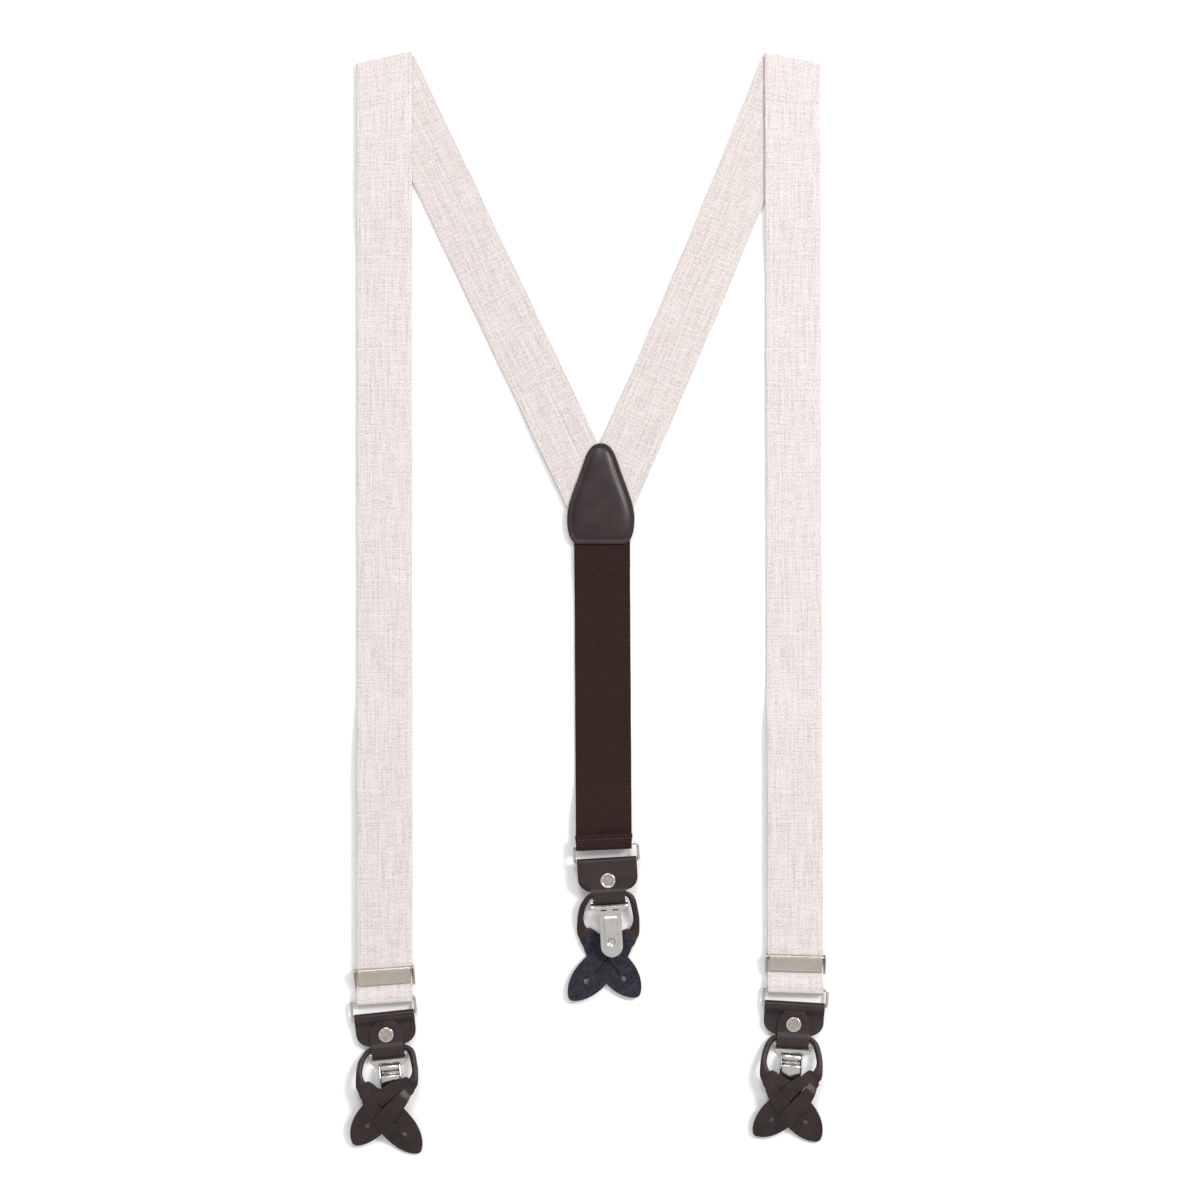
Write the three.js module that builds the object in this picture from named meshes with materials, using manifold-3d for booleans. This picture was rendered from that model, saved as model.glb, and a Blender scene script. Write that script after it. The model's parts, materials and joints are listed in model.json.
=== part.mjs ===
// Y-back suspenders laid flat: two linen-covered straps, a rear elastic, a leather crosspatch, two clamp
// adjusters, and three ends that each carry a ring, a leather holder, a button loop and a lever clip.
// Millimetres. +Y runs from the clips to the shoulders, +Z points away from the surface they lie on.
import * as THREE from 'three';
import { mergeVertices } from 'three/addons/utils/BufferGeometryUtils.js';
import Module from 'manifold-3d';

const wasm = await Module();
wasm.setup();

const { degToRad, smoothstep } = THREE.MathUtils;
const GAP = 0.3; // between pieces that touch on the real object

// Straps
const STRAP_WIDTH = 35;
const STRAP_THICK = 1.5;
const SIDES = {
  left: { sign: -1, backRun: 317.9, backAngle: 25.4, bow: 0, frontDrop: 593, lean: 0.4, foldTilt: 4.2 },
  right: { sign: 1, backRun: 311.3, backAngle: 22.8, bow: 1.8, frontDrop: 586.3, lean: 1.8, foldTilt: -1.6 },
};
const ELASTIC_DROP = 208.5; // from the junction to the rear ring
const ELASTIC_LEAN = 1.2;
const ELASTIC_SHIFT = 0.7;
const ELASTIC_TILT = 2.6;
const ELASTIC_FLAP = 6.6; // how far its sewn end stands above the ring's bar

// Crosspatch, measured from the point where the back straps meet
const PATCH_TOP = 43.9;
const PATCH_BOTTOM = -19.5;
const PATCH_HALF_WIDTH = 21.25;
const PATCH_THICK = 1.2;
const PATCH_EDGE = [ // its right edge from the top down, as Bezier points in shares of half width and height
  [0, 0], [0.28, 0], [0.4, 0.08], [0.52, 0.205], [0.7, 0.39], [1, 0.6], [1, 0.74], [1, 0.92], [0.92, 1], [0.73, 1],
];

// Rings
const WIRE = 1.8;
const RING_PITCH = 10.4; // between the centres of its two long bars
const RING_PLAY = 1.7; // on each side of the strap
const RING_CORNER = 1.5;
const LOOP_CLEAR = 0.45; // between the wire and the strap around it
const LOOP_SLACK = 0.6; // lets the wire lie askew in the strap's fold
const FRONT_RING_HEIGHT = 3.3;
const REAR_RING_HEIGHT = 7.3; // its tabs lie below it, on the surface

// Leather holder, in the frame of an end: the rivet is at 0, 0 and +Y points at the ring
const LEATHER = 1.2;
const LOWER_BAR_Y = 12;
const HOLDER_HALF_WIDTH = STRAP_WIDTH / 2 + RING_PLAY - 0.4;
const HOLDER_FRONT_END = -6.6;
const HOLDER_CORNER = 8.5;
const NECK_HALF_WIDTH = 9.9;
const TONGUE_RADIUS = 10;
const HOLDER_CLEAR = 0.35;
const RIVET_CAP = 9.6;
const RIVET_STEM = 3.6;

// Button loop
const CORD = 3.2;
const CORD_Y = -8.8;
const LOOP_HALF_WIDTH = 17.6;
const LOOP_END_Y = -38.5;
const CORD_ROUTE = [ // from the fold to a tab, in shares of half width, length and rise
  [0.57, 0, 0], [0.75, 0.05, 0.03], [0.875, 0.175, 0.15], [0.965, 0.38, 0.4], [1, 0.6, 0.7], [0.92, 0.82, 0.92],
  [0.7, 1, 1],
];
const TAB_THICK = 1.3;
const FELT_THICK = 0.6;
const TAB_WIDTH = 21;
const TAB_NECK = 11;
const TAB_START_X = 11.6;
const TAB_START_Y = -37.5;
const KEYHOLE = 3;
const SLIT = 0.9;

// Clip
const BAR_Y = -12.4;
const BAR_RADIUS = 0.7;
const SHEET = 0.7;
const CLIP_WIDTH = 13.6;
const CLIP_END_Y = -48;
const CLIP_SHOULDER_Y = -21;
const PLATE_HEIGHT = 0.5; // underside of the back plate
const RIB_WIDTH = 8.5;
const JAW_PIN = new THREE.Vector3(0, -20.8, 4.1);
const JAW_PIN_RADIUS = 0.8;
const KNUCKLE_RADIUS = 2.6;
const LEVER_PIN = new THREE.Vector3(0, -26.2, 6.1);
const LEVER_PIN_RADIUS = 0.6;
const HUB_RADIUS = 1.1;
const CAM_OFFSET = 0.85;
const HANDLE = 8.4;
const SIDE_CLEAR = 0.4;
const PAD_THICK = 0.5;
const PAD_LENGTH = 7;

// Adjuster
const LENGTH_TRAVEL = 120; // how far a ring can be drawn up its strap
const ADJUSTER_RISE = { left: 14, right: 15.6 }; // above the ring's upper bar
const ADJUSTER_LENGTH = 12;
const ADJUSTER_CLEAR = 0.7; // between the strap's edge and an ear
const ADJUSTER_SHEET = 0.8;
const ADJUSTER_PIN_RADIUS = 0.55;
const ADJUSTER_TUBE = 1.05;
const ADJUSTER_PLATE_WIDTH = 33;

// The three ends. A tab is [angle from straight down, length] and the first one runs to +X.
const ENDS = {
  left: { shift: -1.4, tilt: 6, tabs: [[41, 48], [44, 45]], droop: 12, tabHeight: 8.2 },
  right: { shift: 0.2, tilt: -3.5, tabs: [[37, 43], [45, 48]], droop: 12, tabHeight: 8.2 },
  rear: { shift: 1.2, tilt: 3.5, tabs: [[42, 50], [40, 46]], droop: 0, tabHeight: 6.6, flipped: true },
};

const linen = new THREE.MeshStandardMaterial({ color: 0xd9cfcd, roughness: 0.9, metalness: 0 });
const elastic = new THREE.MeshStandardMaterial({ color: 0x3c2626, roughness: 0.85, metalness: 0 });
const leather = new THREE.MeshStandardMaterial({ color: 0x362826, roughness: 0.55, metalness: 0 });
const felt = new THREE.MeshStandardMaterial({ color: 0x2b2d3a, roughness: 0.95, metalness: 0 });
const nickel = new THREE.MeshStandardMaterial({ color: 0xc9c4bd, roughness: 0.2, metalness: 1 });
const plastic = new THREE.MeshStandardMaterial({ color: 0xe4e0da, roughness: 0.5, metalness: 0 });

// Booleans

function toSolid(geometry) {
  const bare = geometry.clone();
  bare.deleteAttribute('normal');
  bare.deleteAttribute('uv');
  const merged = mergeVertices(bare, 1e-4);
  return new wasm.Manifold(new wasm.Mesh({
    numProp: 3,
    vertProperties: new Float32Array(merged.attributes.position.array),
    triVerts: new Uint32Array(merged.index.array),
  }));
}

function toGeometry(solid) {
  const mesh = solid.getMesh();
  const geometry = new THREE.BufferGeometry();
  geometry.setAttribute('position', new THREE.BufferAttribute(mesh.vertProperties, 3));
  geometry.setIndex(new THREE.BufferAttribute(mesh.triVerts, 1));
  geometry.computeVertexNormals();
  return geometry;
}

function join(...geometries) {
  return toGeometry(geometries.map(toSolid).reduce((all, next) => all.add(next)));
}

function cut(geometry, ...tools) {
  return toGeometry(tools.map(toSolid).reduce((left, tool) => left.subtract(tool), toSolid(geometry)));
}

function common(geometry, other) {
  return toGeometry(toSolid(geometry).intersect(toSolid(other)));
}

// Shapes

function reshape(geometry, move) {
  const position = geometry.attributes.position;
  const point = new THREE.Vector3();
  for (let i = 0; i < position.count; i++) {
    point.fromBufferAttribute(position, i);
    move(point);
    position.setXYZ(i, point.x, point.y, point.z);
  }
  geometry.computeVertexNormals();
  return geometry;
}

// A box between two corners.
function block(x0, x1, y0, y1, z0, z1) {
  const geometry = new THREE.BoxGeometry(x1 - x0, y1 - y0, z1 - z0);
  return geometry.translate((x0 + x1) / 2, (y0 + y1) / 2, (z0 + z1) / 2);
}

// A round bar across x, centred at a height above y.
function crossBar(radius, halfLength, y, z, sides = 12) {
  const geometry = new THREE.CylinderGeometry(radius, radius, 2 * halfLength, sides);
  return geometry.rotateZ(Math.PI / 2).translate(0, y, z);
}

// A round bar along z.
function upright(radius, x, y, z0, z1, sides = 14) {
  const geometry = new THREE.CylinderGeometry(radius, radius, z1 - z0, sides);
  return geometry.rotateX(Math.PI / 2).translate(x, y, (z0 + z1) / 2);
}

// An outline in plan, given a thickness from z0 to z1.
function slab(shape, z0, z1, curveSegments = 8) {
  const geometry = new THREE.ExtrudeGeometry(shape, { depth: z1 - z0, bevelEnabled: false, curveSegments });
  return geometry.translate(0, 0, z0);
}

// Turns a shape drawn in (along, height) and extruded sideways so that it lies along y, centred on x.
function standAcross(geometry, width) {
  geometry.translate(0, 0, -width / 2);
  const along = new THREE.Vector3(0, 1, 0);
  const up = new THREE.Vector3(0, 0, 1);
  const across = new THREE.Vector3(1, 0, 0);
  return geometry.applyMatrix4(new THREE.Matrix4().makeBasis(along, up, across));
}

// A side view in (along, height), extruded across x.
function profile(shape, width) {
  return standAcross(new THREE.ExtrudeGeometry(shape, { depth: width, bevelEnabled: false }), width);
}

// A flat strip of even thickness whose middle follows points of (along, height).
function band(points, width, thickness) {
  const upper = [];
  const lower = [];
  points.forEach((point, i) => {
    const before = point.clone().sub(points[Math.max(i - 1, 0)]).normalize();
    const after = points[Math.min(i + 1, points.length - 1)].clone().sub(point).normalize();
    const along = before.clone().add(after).normalize();
    const reach = thickness / 2 / Math.max(along.dot(before), along.dot(after));
    const offset = new THREE.Vector2(-along.y, along.x).multiplyScalar(reach);
    upper.push(point.clone().add(offset));
    lower.push(point.clone().sub(offset));
  });
  return profile(new THREE.Shape([...lower, ...upper.reverse()]), width);
}

// The path's line to a point at another height, as a soft S.
function easeTo(path, y, z) {
  const from = path.currentPoint;
  const middle = (from.x + y) / 2;
  path.bezierCurveTo(middle, from.y, middle, z, y, z);
}

// Bodies and pieces. Geometry is drawn in its end's frame, and a body's group sits at its pivot.

function makeBody(parent, name, pivot) {
  const group = new THREE.Group();
  group.name = name;
  group.userData.pivot = pivot;
  group.position.copy(pivot).sub(parent.userData.pivot ?? new THREE.Vector3());
  parent.add(group);
  return group;
}

function addPiece(body, name, geometry, material) {
  const mesh = new THREE.Mesh(geometry, material);
  mesh.name = name;
  mesh.position.copy(body.userData.pivot).negate();
  body.add(mesh);
}

const assembly = new THREE.Group();
const root = makeBody(assembly, 'root', new THREE.Vector3());

// Heights shared by the straps
const LIE = STRAP_THICK / 2; // middle of a strap on the surface
const OVER = LIE + STRAP_THICK + GAP; // middle of a strap lying on another
const FOLD_RADIUS = (OVER - LIE) / 2;
const FOLD_TUCK = 4; // length of the turned-under end
const IN_PATCH = PATCH_THICK + GAP + STRAP_THICK / 2;
const WRAP_RADIUS = WIRE / 2 + LOOP_CLEAR + STRAP_THICK / 2;
const TAIL = FRONT_RING_HEIGHT - WRAP_RADIUS; // middle of the strap's return below the ring
const ADJUSTER_BASE = TAIL + STRAP_THICK / 2 + GAP;
const CLAMPED = ADJUSTER_BASE + ADJUSTER_SHEET + GAP + STRAP_THICK / 2; // middle of a strap in its adjuster

function foldPoint(side) {
  const angle = degToRad(side.backAngle);
  return new THREE.Vector3(side.sign * side.backRun * Math.sin(angle), side.backRun * Math.cos(angle), 0);
}

// Distance below the fold at which the front strap no longer lies on the back strap.
function overlapDrop(side) {
  const angle = degToRad(side.backAngle);
  return (STRAP_WIDTH / 2) * (1 + 1 / Math.cos(angle)) / Math.tan(angle) + 10;
}

// The front strap keeps the adjuster's height as far up as the adjuster can travel.
function frontStrap(side, adjusterRise) {
  const fold = -(FOLD_RADIUS + STRAP_THICK / 2);
  const ringHeight = FRONT_RING_HEIGHT + WRAP_RADIUS;
  const bottom = -side.frontDrop;
  const clampStart = bottom + adjusterRise - ADJUSTER_LENGTH / 2;
  const clampEnd = bottom + adjusterRise + ADJUSTER_LENGTH + LENGTH_TRAVEL;
  const path = new THREE.Path();
  path.moveTo(fold - FOLD_TUCK, LIE);
  path.lineTo(fold, LIE);
  path.absarc(fold, (LIE + OVER) / 2, FOLD_RADIUS, -Math.PI / 2, Math.PI / 2, false);
  path.lineTo(-overlapDrop(side), OVER);
  easeTo(path, -overlapDrop(side) - 50, LIE);
  path.lineTo(clampEnd + 60, LIE);
  easeTo(path, clampEnd, CLAMPED);
  path.lineTo(clampStart, CLAMPED);
  easeTo(path, bottom + WIRE, ringHeight);
  path.lineTo(bottom, ringHeight);
  const crease = -side.sign * Math.tan(degToRad(side.backAngle / 2));
  const slant = Math.tan(degToRad(side.foldTilt));
  return reshape(band(path.getPoints(6), STRAP_WIDTH, STRAP_THICK), (p) => {
    const atTop = smoothstep(p.y, -60, -20);
    const atBottom = 1 - smoothstep(p.y, bottom + 5, clampStart + 2 * ADJUSTER_LENGTH);
    const lean = side.lean * (-p.y / side.frontDrop);
    p.y += p.x * (crease * atTop + slant * atBottom);
    p.x += lean;
  });
}

function backStrap(side) {
  const angle = degToRad(side.backAngle);
  const end = side.backRun - (2 * FOLD_RADIUS + FOLD_TUCK + STRAP_THICK / 2 + GAP) / Math.cos(angle);
  const patchEnd = PATCH_TOP / Math.cos(angle) + 4;
  const path = new THREE.Path();
  path.moveTo(-STRAP_WIDTH, IN_PATCH);
  path.lineTo(patchEnd, IN_PATCH);
  easeTo(path, patchEnd + 45, LIE);
  for (let i = 1; i <= 8; i++) {
    path.lineTo(THREE.MathUtils.lerp(patchEnd + 45, end, i / 8), LIE);
  }
  const crease = side.sign * Math.tan(angle / 2);
  const strap = reshape(band(path.getPoints(6), STRAP_WIDTH, STRAP_THICK), (p) => {
    const along = p.y / side.backRun;
    p.y += p.x * crease * smoothstep(p.y, end - 40, end - 1);
    p.x += side.sign * 4 * side.bow * along * (1 - along);
  });
  strap.rotateZ(-side.sign * angle);
  const reach = 2 * side.backRun;
  const half = side.sign < 0 ? [-reach, -GAP / 2] : [GAP / 2, reach];
  return common(strap, block(...half, GAP / 2, reach, -10, 10));
}

function crosspatchShape() {
  const height = PATCH_TOP - PATCH_BOTTOM;
  const shape = new THREE.Shape();
  shape.moveTo(0, PATCH_TOP);
  for (const way of [1, -1]) {
    const edge = PATCH_EDGE.map(([across, down]) => [way * across * PATCH_HALF_WIDTH, PATCH_TOP - down * height]);
    const run = way > 0 ? edge : edge.reverse();
    shape.lineTo(...run[0]);
    for (let i = 1; i < run.length; i += 3) {
      shape.bezierCurveTo(...run[i], ...run[i + 1], ...run[i + 2]);
    }
  }
  return shape;
}

// The elastic's middle moves sideways on its way down, and its lower end lies a little askew.
function leanElastic(geometry) {
  const slant = Math.tan(degToRad(ELASTIC_TILT));
  return reshape(geometry, (p) => {
    const lean = ELASTIC_SHIFT + ELASTIC_LEAN * (-p.y / ELASTIC_DROP);
    p.y += p.x * slant * (1 - smoothstep(p.y, 30 - ELASTIC_DROP, 60 - ELASTIC_DROP));
    p.x += lean;
  });
}

function rearElastic() {
  const path = new THREE.Path();
  path.moveTo(-ELASTIC_DROP, REAR_RING_HEIGHT - WRAP_RADIUS);
  path.lineTo(12 - ELASTIC_DROP, REAR_RING_HEIGHT - WRAP_RADIUS);
  easeTo(path, 48 - ELASTIC_DROP, LIE);
  path.lineTo(PATCH_BOTTOM - 40, LIE);
  easeTo(path, PATCH_BOTTOM - 2, IN_PATCH);
  path.lineTo(-GAP / 2, IN_PATCH);
  return leanElastic(band(path.getPoints(6), STRAP_WIDTH, STRAP_THICK));
}

function rearElasticFold() {
  const start = -ELASTIC_DROP - GAP;
  const path = new THREE.Path();
  path.moveTo(start, REAR_RING_HEIGHT - WRAP_RADIUS);
  path.absarc(start - 0.05, REAR_RING_HEIGHT, WRAP_RADIUS, -Math.PI / 2, Math.PI / 2, true);
  path.lineTo(ELASTIC_FLAP - ELASTIC_DROP, REAR_RING_HEIGHT + WRAP_RADIUS);
  return leanElastic(band(path.getPoints(8), STRAP_WIDTH, STRAP_THICK));
}

// The strap's return: round the ring's bar and up behind to the adjuster. Drawn from the bar's centre.
function strapTail(side, adjusterRise) {
  const path = new THREE.Path();
  path.moveTo(-GAP, FRONT_RING_HEIGHT + WRAP_RADIUS);
  path.absarc(-LOOP_SLACK, FRONT_RING_HEIGHT, WRAP_RADIUS, Math.PI / 2, Math.PI * 1.5, false);
  path.lineTo(adjusterRise + ADJUSTER_LENGTH / 4, TAIL);
  const slant = Math.tan(degToRad(side.foldTilt));
  const tail = band(path.getPoints(8), STRAP_WIDTH - 2 * GAP, STRAP_THICK);
  return reshape(tail, (p) => {
    p.y += p.x * slant;
  });
}

// Adjuster, drawn about the middle of the strap it clamps

const EAR_INSIDE = STRAP_WIDTH / 2 + ADJUSTER_CLEAR;
const EAR_OUTSIDE = EAR_INSIDE + ADJUSTER_SHEET;
const STRAP_TOP = CLAMPED + STRAP_THICK / 2;
const ADJUSTER_PIN = new THREE.Vector3(0, 4.6, STRAP_TOP + GAP + ADJUSTER_TUBE);

function adjusterFrame() {
  const bottom = ADJUSTER_BASE;
  const half = ADJUSTER_LENGTH / 2;
  const side = new THREE.Shape();
  side.moveTo(-half, bottom);
  side.lineTo(half, bottom);
  side.lineTo(half + 0.5, ADJUSTER_PIN.z - 1);
  side.absarc(ADJUSTER_PIN.y, ADJUSTER_PIN.z, 1.7, -0.3, Math.PI * 0.75, false);
  side.lineTo(-half + 1, STRAP_TOP - 0.5);
  side.lineTo(-half, bottom);
  const ears = common(profile(side, 2 * EAR_OUTSIDE), join(
    block(-EAR_OUTSIDE - 1, -EAR_INSIDE, -20, 20, 0, 20),
    block(EAR_INSIDE, EAR_OUTSIDE + 1, -20, 20, 0, 20),
  ));
  const plate = block(-EAR_OUTSIDE, EAR_OUTSIDE, -half, half, bottom, bottom + ADJUSTER_SHEET);
  const pinHole = crossBar(ADJUSTER_PIN_RADIUS + GAP, EAR_OUTSIDE + 2, ADJUSTER_PIN.y, ADJUSTER_PIN.z);
  return cut(join(plate, ears), pinHole);
}

function adjusterLever() {
  const { y, z } = ADJUSTER_PIN;
  const path = [[y, z + 0.6], [y - 2.8, z + 0.7], [y - 9.2, z - 0.45]].map((p) => new THREE.Vector2(...p));
  const plate = band(path, ADJUSTER_PLATE_WIDTH, ADJUSTER_SHEET);
  const tube = crossBar(ADJUSTER_TUBE, EAR_INSIDE - GAP, y, z);
  const bore = crossBar(ADJUSTER_PIN_RADIUS + 0.2, EAR_OUTSIDE, y, z);
  return cut(join(plate, tube), bore);
}

function addAdjuster(parent, name, side, rise) {
  const centre = new THREE.Group();
  centre.name = `${name}_adjuster_place`;
  centre.position.set(0, rise, -FRONT_RING_HEIGHT);
  centre.rotation.z = degToRad(side.foldTilt);
  parent.add(centre);
  const frame = makeBody(centre, `${name}_adjuster`, new THREE.Vector3());
  addPiece(frame, `${name}_adjuster_frame`, adjusterFrame(), nickel);
  const pin = crossBar(ADJUSTER_PIN_RADIUS, EAR_OUTSIDE + 0.6, ADJUSTER_PIN.y, ADJUSTER_PIN.z);
  addPiece(frame, `${name}_adjuster_pin`, pin, nickel);
  const lever = makeBody(frame, `${name}_adjuster_lever_body`, ADJUSTER_PIN);
  addPiece(lever, `${name}_adjuster_lever`, adjusterLever(), nickel);
}

// Ring, drawn from the rivet

const UPPER_BAR_Y = LOWER_BAR_Y + RING_PITCH;

function roundedRectangle(halfWidth, y0, y1, corner, target) {
  target.moveTo(-halfWidth + corner, y0);
  target.lineTo(halfWidth - corner, y0);
  target.absarc(halfWidth - corner, y0 + corner, corner, -Math.PI / 2, 0, false);
  target.lineTo(halfWidth, y1 - corner);
  target.absarc(halfWidth - corner, y1 - corner, corner, 0, Math.PI / 2, false);
  target.lineTo(-halfWidth + corner, y1);
  target.absarc(-halfWidth + corner, y1 - corner, corner, Math.PI / 2, Math.PI, false);
  target.lineTo(-halfWidth, y0 + corner);
  target.absarc(-halfWidth + corner, y0 + corner, corner, Math.PI, Math.PI * 1.5, false);
  return target;
}

function ring() {
  const chamfer = 0.5;
  const inside = STRAP_WIDTH / 2 + RING_PLAY;
  const half = WIRE / 2;
  const outer = roundedRectangle(inside + WIRE - chamfer, LOWER_BAR_Y - half + chamfer,
    UPPER_BAR_Y + half - chamfer, RING_CORNER + half - chamfer, new THREE.Shape());
  outer.holes.push(roundedRectangle(inside + chamfer, LOWER_BAR_Y + half - chamfer,
    UPPER_BAR_Y - half + chamfer, RING_CORNER - half + chamfer, new THREE.Path()));
  const geometry = new THREE.ExtrudeGeometry(outer, {
    depth: WIRE - 2 * chamfer, bevelSize: chamfer, bevelThickness: chamfer, bevelSegments: 1, curveSegments: 4,
  });
  return geometry.translate(0, 0, FRONT_RING_HEIGHT - WIRE / 2 + chamfer);
}

// Leather holder: a wide part round the ring's bar, and a tongue round the clip's bar

const HOLDER_WRAP = WIRE / 2 + HOLDER_CLEAR + LEATHER / 2;
const BACK_LAYER = FRONT_RING_HEIGHT - HOLDER_WRAP;
const WIDE_LAYER = BACK_LAYER + LEATHER + 0.4;
const TONGUE_LAYER = WIDE_LAYER + LEATHER + GAP;
const NECK_LAYER = 0.15 + LEATHER / 2;
const CORD_HEIGHT = NECK_LAYER + LEATHER / 2 + GAP + CORD / 2;
const TONGUE_OVER_CORD = CORD_HEIGHT + CORD / 2 + GAP + LEATHER / 2;
const FOLD_Y = BAR_Y + 0.1;

function widePlan() {
  const shape = new THREE.Shape();
  const neck = NECK_HALF_WIDTH;
  const top = LOWER_BAR_Y + HOLDER_WRAP + LEATHER;
  shape.moveTo(neck, HOLDER_FRONT_END - 1);
  shape.bezierCurveTo(neck + HOLDER_CORNER * 0.5, HOLDER_FRONT_END + 1,
    HOLDER_HALF_WIDTH, HOLDER_FRONT_END + HOLDER_CORNER * 0.5, HOLDER_HALF_WIDTH, HOLDER_CORNER * 0.25);
  shape.lineTo(HOLDER_HALF_WIDTH, top);
  shape.lineTo(-HOLDER_HALF_WIDTH, top);
  shape.lineTo(-HOLDER_HALF_WIDTH, HOLDER_CORNER * 0.25);
  shape.bezierCurveTo(-HOLDER_HALF_WIDTH, HOLDER_FRONT_END + HOLDER_CORNER * 0.5,
    -neck - HOLDER_CORNER * 0.5, HOLDER_FRONT_END + 1, -neck, HOLDER_FRONT_END - 1);
  return shape;
}

function tonguePlan() {
  const shape = new THREE.Shape();
  shape.moveTo(-NECK_HALF_WIDTH, BAR_Y - 10);
  shape.lineTo(NECK_HALF_WIDTH, BAR_Y - 10);
  shape.lineTo(TONGUE_RADIUS, 0);
  shape.absarc(0, 0, TONGUE_RADIUS, 0, Math.PI, false);
  return shape;
}

function holder() {
  const wide = new THREE.Path();
  wide.moveTo(HOLDER_FRONT_END, WIDE_LAYER);
  wide.lineTo(RIVET_CAP / 2, WIDE_LAYER);
  easeTo(wide, LOWER_BAR_Y - 0.8, FRONT_RING_HEIGHT + HOLDER_WRAP);
  wide.absarc(LOWER_BAR_Y, FRONT_RING_HEIGHT, HOLDER_WRAP, Math.PI / 2, -Math.PI / 2, true);
  wide.lineTo(HOLDER_FRONT_END, BACK_LAYER);
  const neck = new THREE.Path();
  const foldRadius = (TONGUE_OVER_CORD - NECK_LAYER) / 2;
  neck.moveTo(-RIVET_CAP / 2 + 1, BACK_LAYER);
  neck.lineTo(-RIVET_CAP / 2 - 0.2, BACK_LAYER);
  easeTo(neck, CORD_Y + 1.2, NECK_LAYER);
  neck.lineTo(FOLD_Y, NECK_LAYER);
  neck.absarc(FOLD_Y, NECK_LAYER + foldRadius, foldRadius, -Math.PI / 2, Math.PI / 2, true);
  neck.lineTo(CORD_Y - 0.4, TONGUE_OVER_CORD);
  easeTo(neck, -RIVET_CAP / 2 + 0.6, TONGUE_LAYER);
  neck.lineTo(TONGUE_RADIUS, TONGUE_LAYER);
  const widePart = common(band(wide.getPoints(6), 2 * HOLDER_HALF_WIDTH, LEATHER), slab(widePlan(), -1, 9));
  const tongue = common(band(neck.getPoints(6), 2 * TONGUE_RADIUS, LEATHER), slab(tonguePlan(), -1, 9));
  return cut(join(widePart, tongue), upright(RIVET_STEM / 2 + GAP, 0, 0, -1, 9));
}

function turned(points) {
  const outline = points.map((p) => new THREE.Vector2(...p));
  return new THREE.LatheGeometry(outline, 20).rotateX(Math.PI / 2);
}

function rivetCap() {
  const under = TONGUE_LAYER + LEATHER / 2 + GAP;
  const radius = RIVET_CAP / 2;
  const socket = RIVET_STEM / 2 + GAP;
  return turned([
    [0, under + 0.75], [socket, under + 0.75], [socket, under], [radius - 0.15, under],
    [radius, under + 0.2], [radius - 0.3, under + 0.65], [radius * 0.6, under + 1.05], [0, under + 1.15],
  ]);
}

function rivetPost() {
  const top = BACK_LAYER - LEATHER / 2 - GAP;
  const radius = RIVET_CAP / 2;
  const stem = RIVET_STEM / 2;
  const tip = TONGUE_LAYER + LEATHER / 2 + GAP + 0.45;
  return turned([
    [0, 0], [radius - 0.2, 0], [radius, 0.2], [radius, top], [stem, top], [stem, tip - 0.3],
    [stem - 0.3, tip], [0, tip],
  ]);
}

// Button loop: a rolled cord and two crossing tabs, backed with felt

function tabShape(length, inset = 0) {
  const neck = TAB_NECK / 2 - inset;
  const wide = TAB_WIDTH / 2 - inset;
  const start = inset * 5;
  const shape = new THREE.Shape();
  shape.moveTo(-neck, -start);
  shape.bezierCurveTo(-neck, -length * 0.3, -wide, -length * 0.4, -wide, -length * 0.62);
  shape.bezierCurveTo(-wide, -length * 0.82, -wide * 0.5, -length * 0.96 + inset, 0, -length + inset);
  shape.bezierCurveTo(wide * 0.5, -length * 0.96 + inset, wide, -length * 0.82, wide, -length * 0.62);
  shape.bezierCurveTo(wide, -length * 0.4, neck, -length * 0.3, neck, -start);
  shape.lineTo(-neck, -start);
  return shape;
}

// Both tabs between two heights. They start at the cord's ends and lean towards each other.
function tabs(end, z0, z1, inset = 0) {
  const both = end.tabs.map(([angle, length], i) => {
    const lean = degToRad(i ? -angle : angle);
    const startX = i ? TAB_START_X : -TAB_START_X;
    return slab(tabShape(length, inset), z0, z1, 5).rotateZ(lean).translate(startX, TAB_START_Y, 0);
  });
  const holes = end.tabs.flatMap(([angle, length], i) => {
    const lean = degToRad(i ? -angle : angle);
    const startX = i ? TAB_START_X : -TAB_START_X;
    const keyhole = upright(KEYHOLE / 2, 0, -length * 0.72, -20, 20, 10);
    const slit = block(-SLIT / 2, SLIT / 2, -length * 0.72, -length * 0.5, -20, 20);
    return [keyhole, slit].map((hole) => hole.rotateZ(lean).translate(startX, TAB_START_Y, 0));
  });
  return cut(join(...both), ...holes);
}

// Lays the flat tabs at their height and lets them droop towards their tips.
function layTabs(geometry, end) {
  geometry.translate(0, -LOOP_END_Y, 0).rotateX(degToRad(end.droop));
  return geometry.translate(0, LOOP_END_Y, end.tabHeight);
}

function buttonLoop(end) {
  const cordEnd = end.tabHeight + FELT_THICK + GAP + CORD / 2 - 0.1;
  const { lerp } = THREE.MathUtils;
  const right = CORD_ROUTE.map(([across, along, rise]) => new THREE.Vector3(
    across * LOOP_HALF_WIDTH, lerp(CORD_Y, LOOP_END_Y, along), lerp(CORD_HEIGHT, cordEnd, rise),
  ));
  const left = right.map((p) => new THREE.Vector3(-p.x, p.y, p.z)).reverse();
  const crown = new THREE.Vector3(0, CORD_Y, CORD_HEIGHT);
  const route = new THREE.CatmullRomCurve3([...left, crown, ...right], false, 'centripetal');
  const section = new THREE.Shape();
  section.absarc(0, 0, CORD / 2, 0, Math.PI * 2, false);
  const cord = new THREE.ExtrudeGeometry(section, { steps: 30, curveSegments: 4, extrudePath: route });
  const plate = layTabs(tabs(end, FELT_THICK + GAP, FELT_THICK + GAP + TAB_THICK), end);
  return join(cord, plate);
}

function tabFelt(end) {
  return layTabs(tabs(end, 0, FELT_THICK, 1.2), end);
}

// Clip

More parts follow.
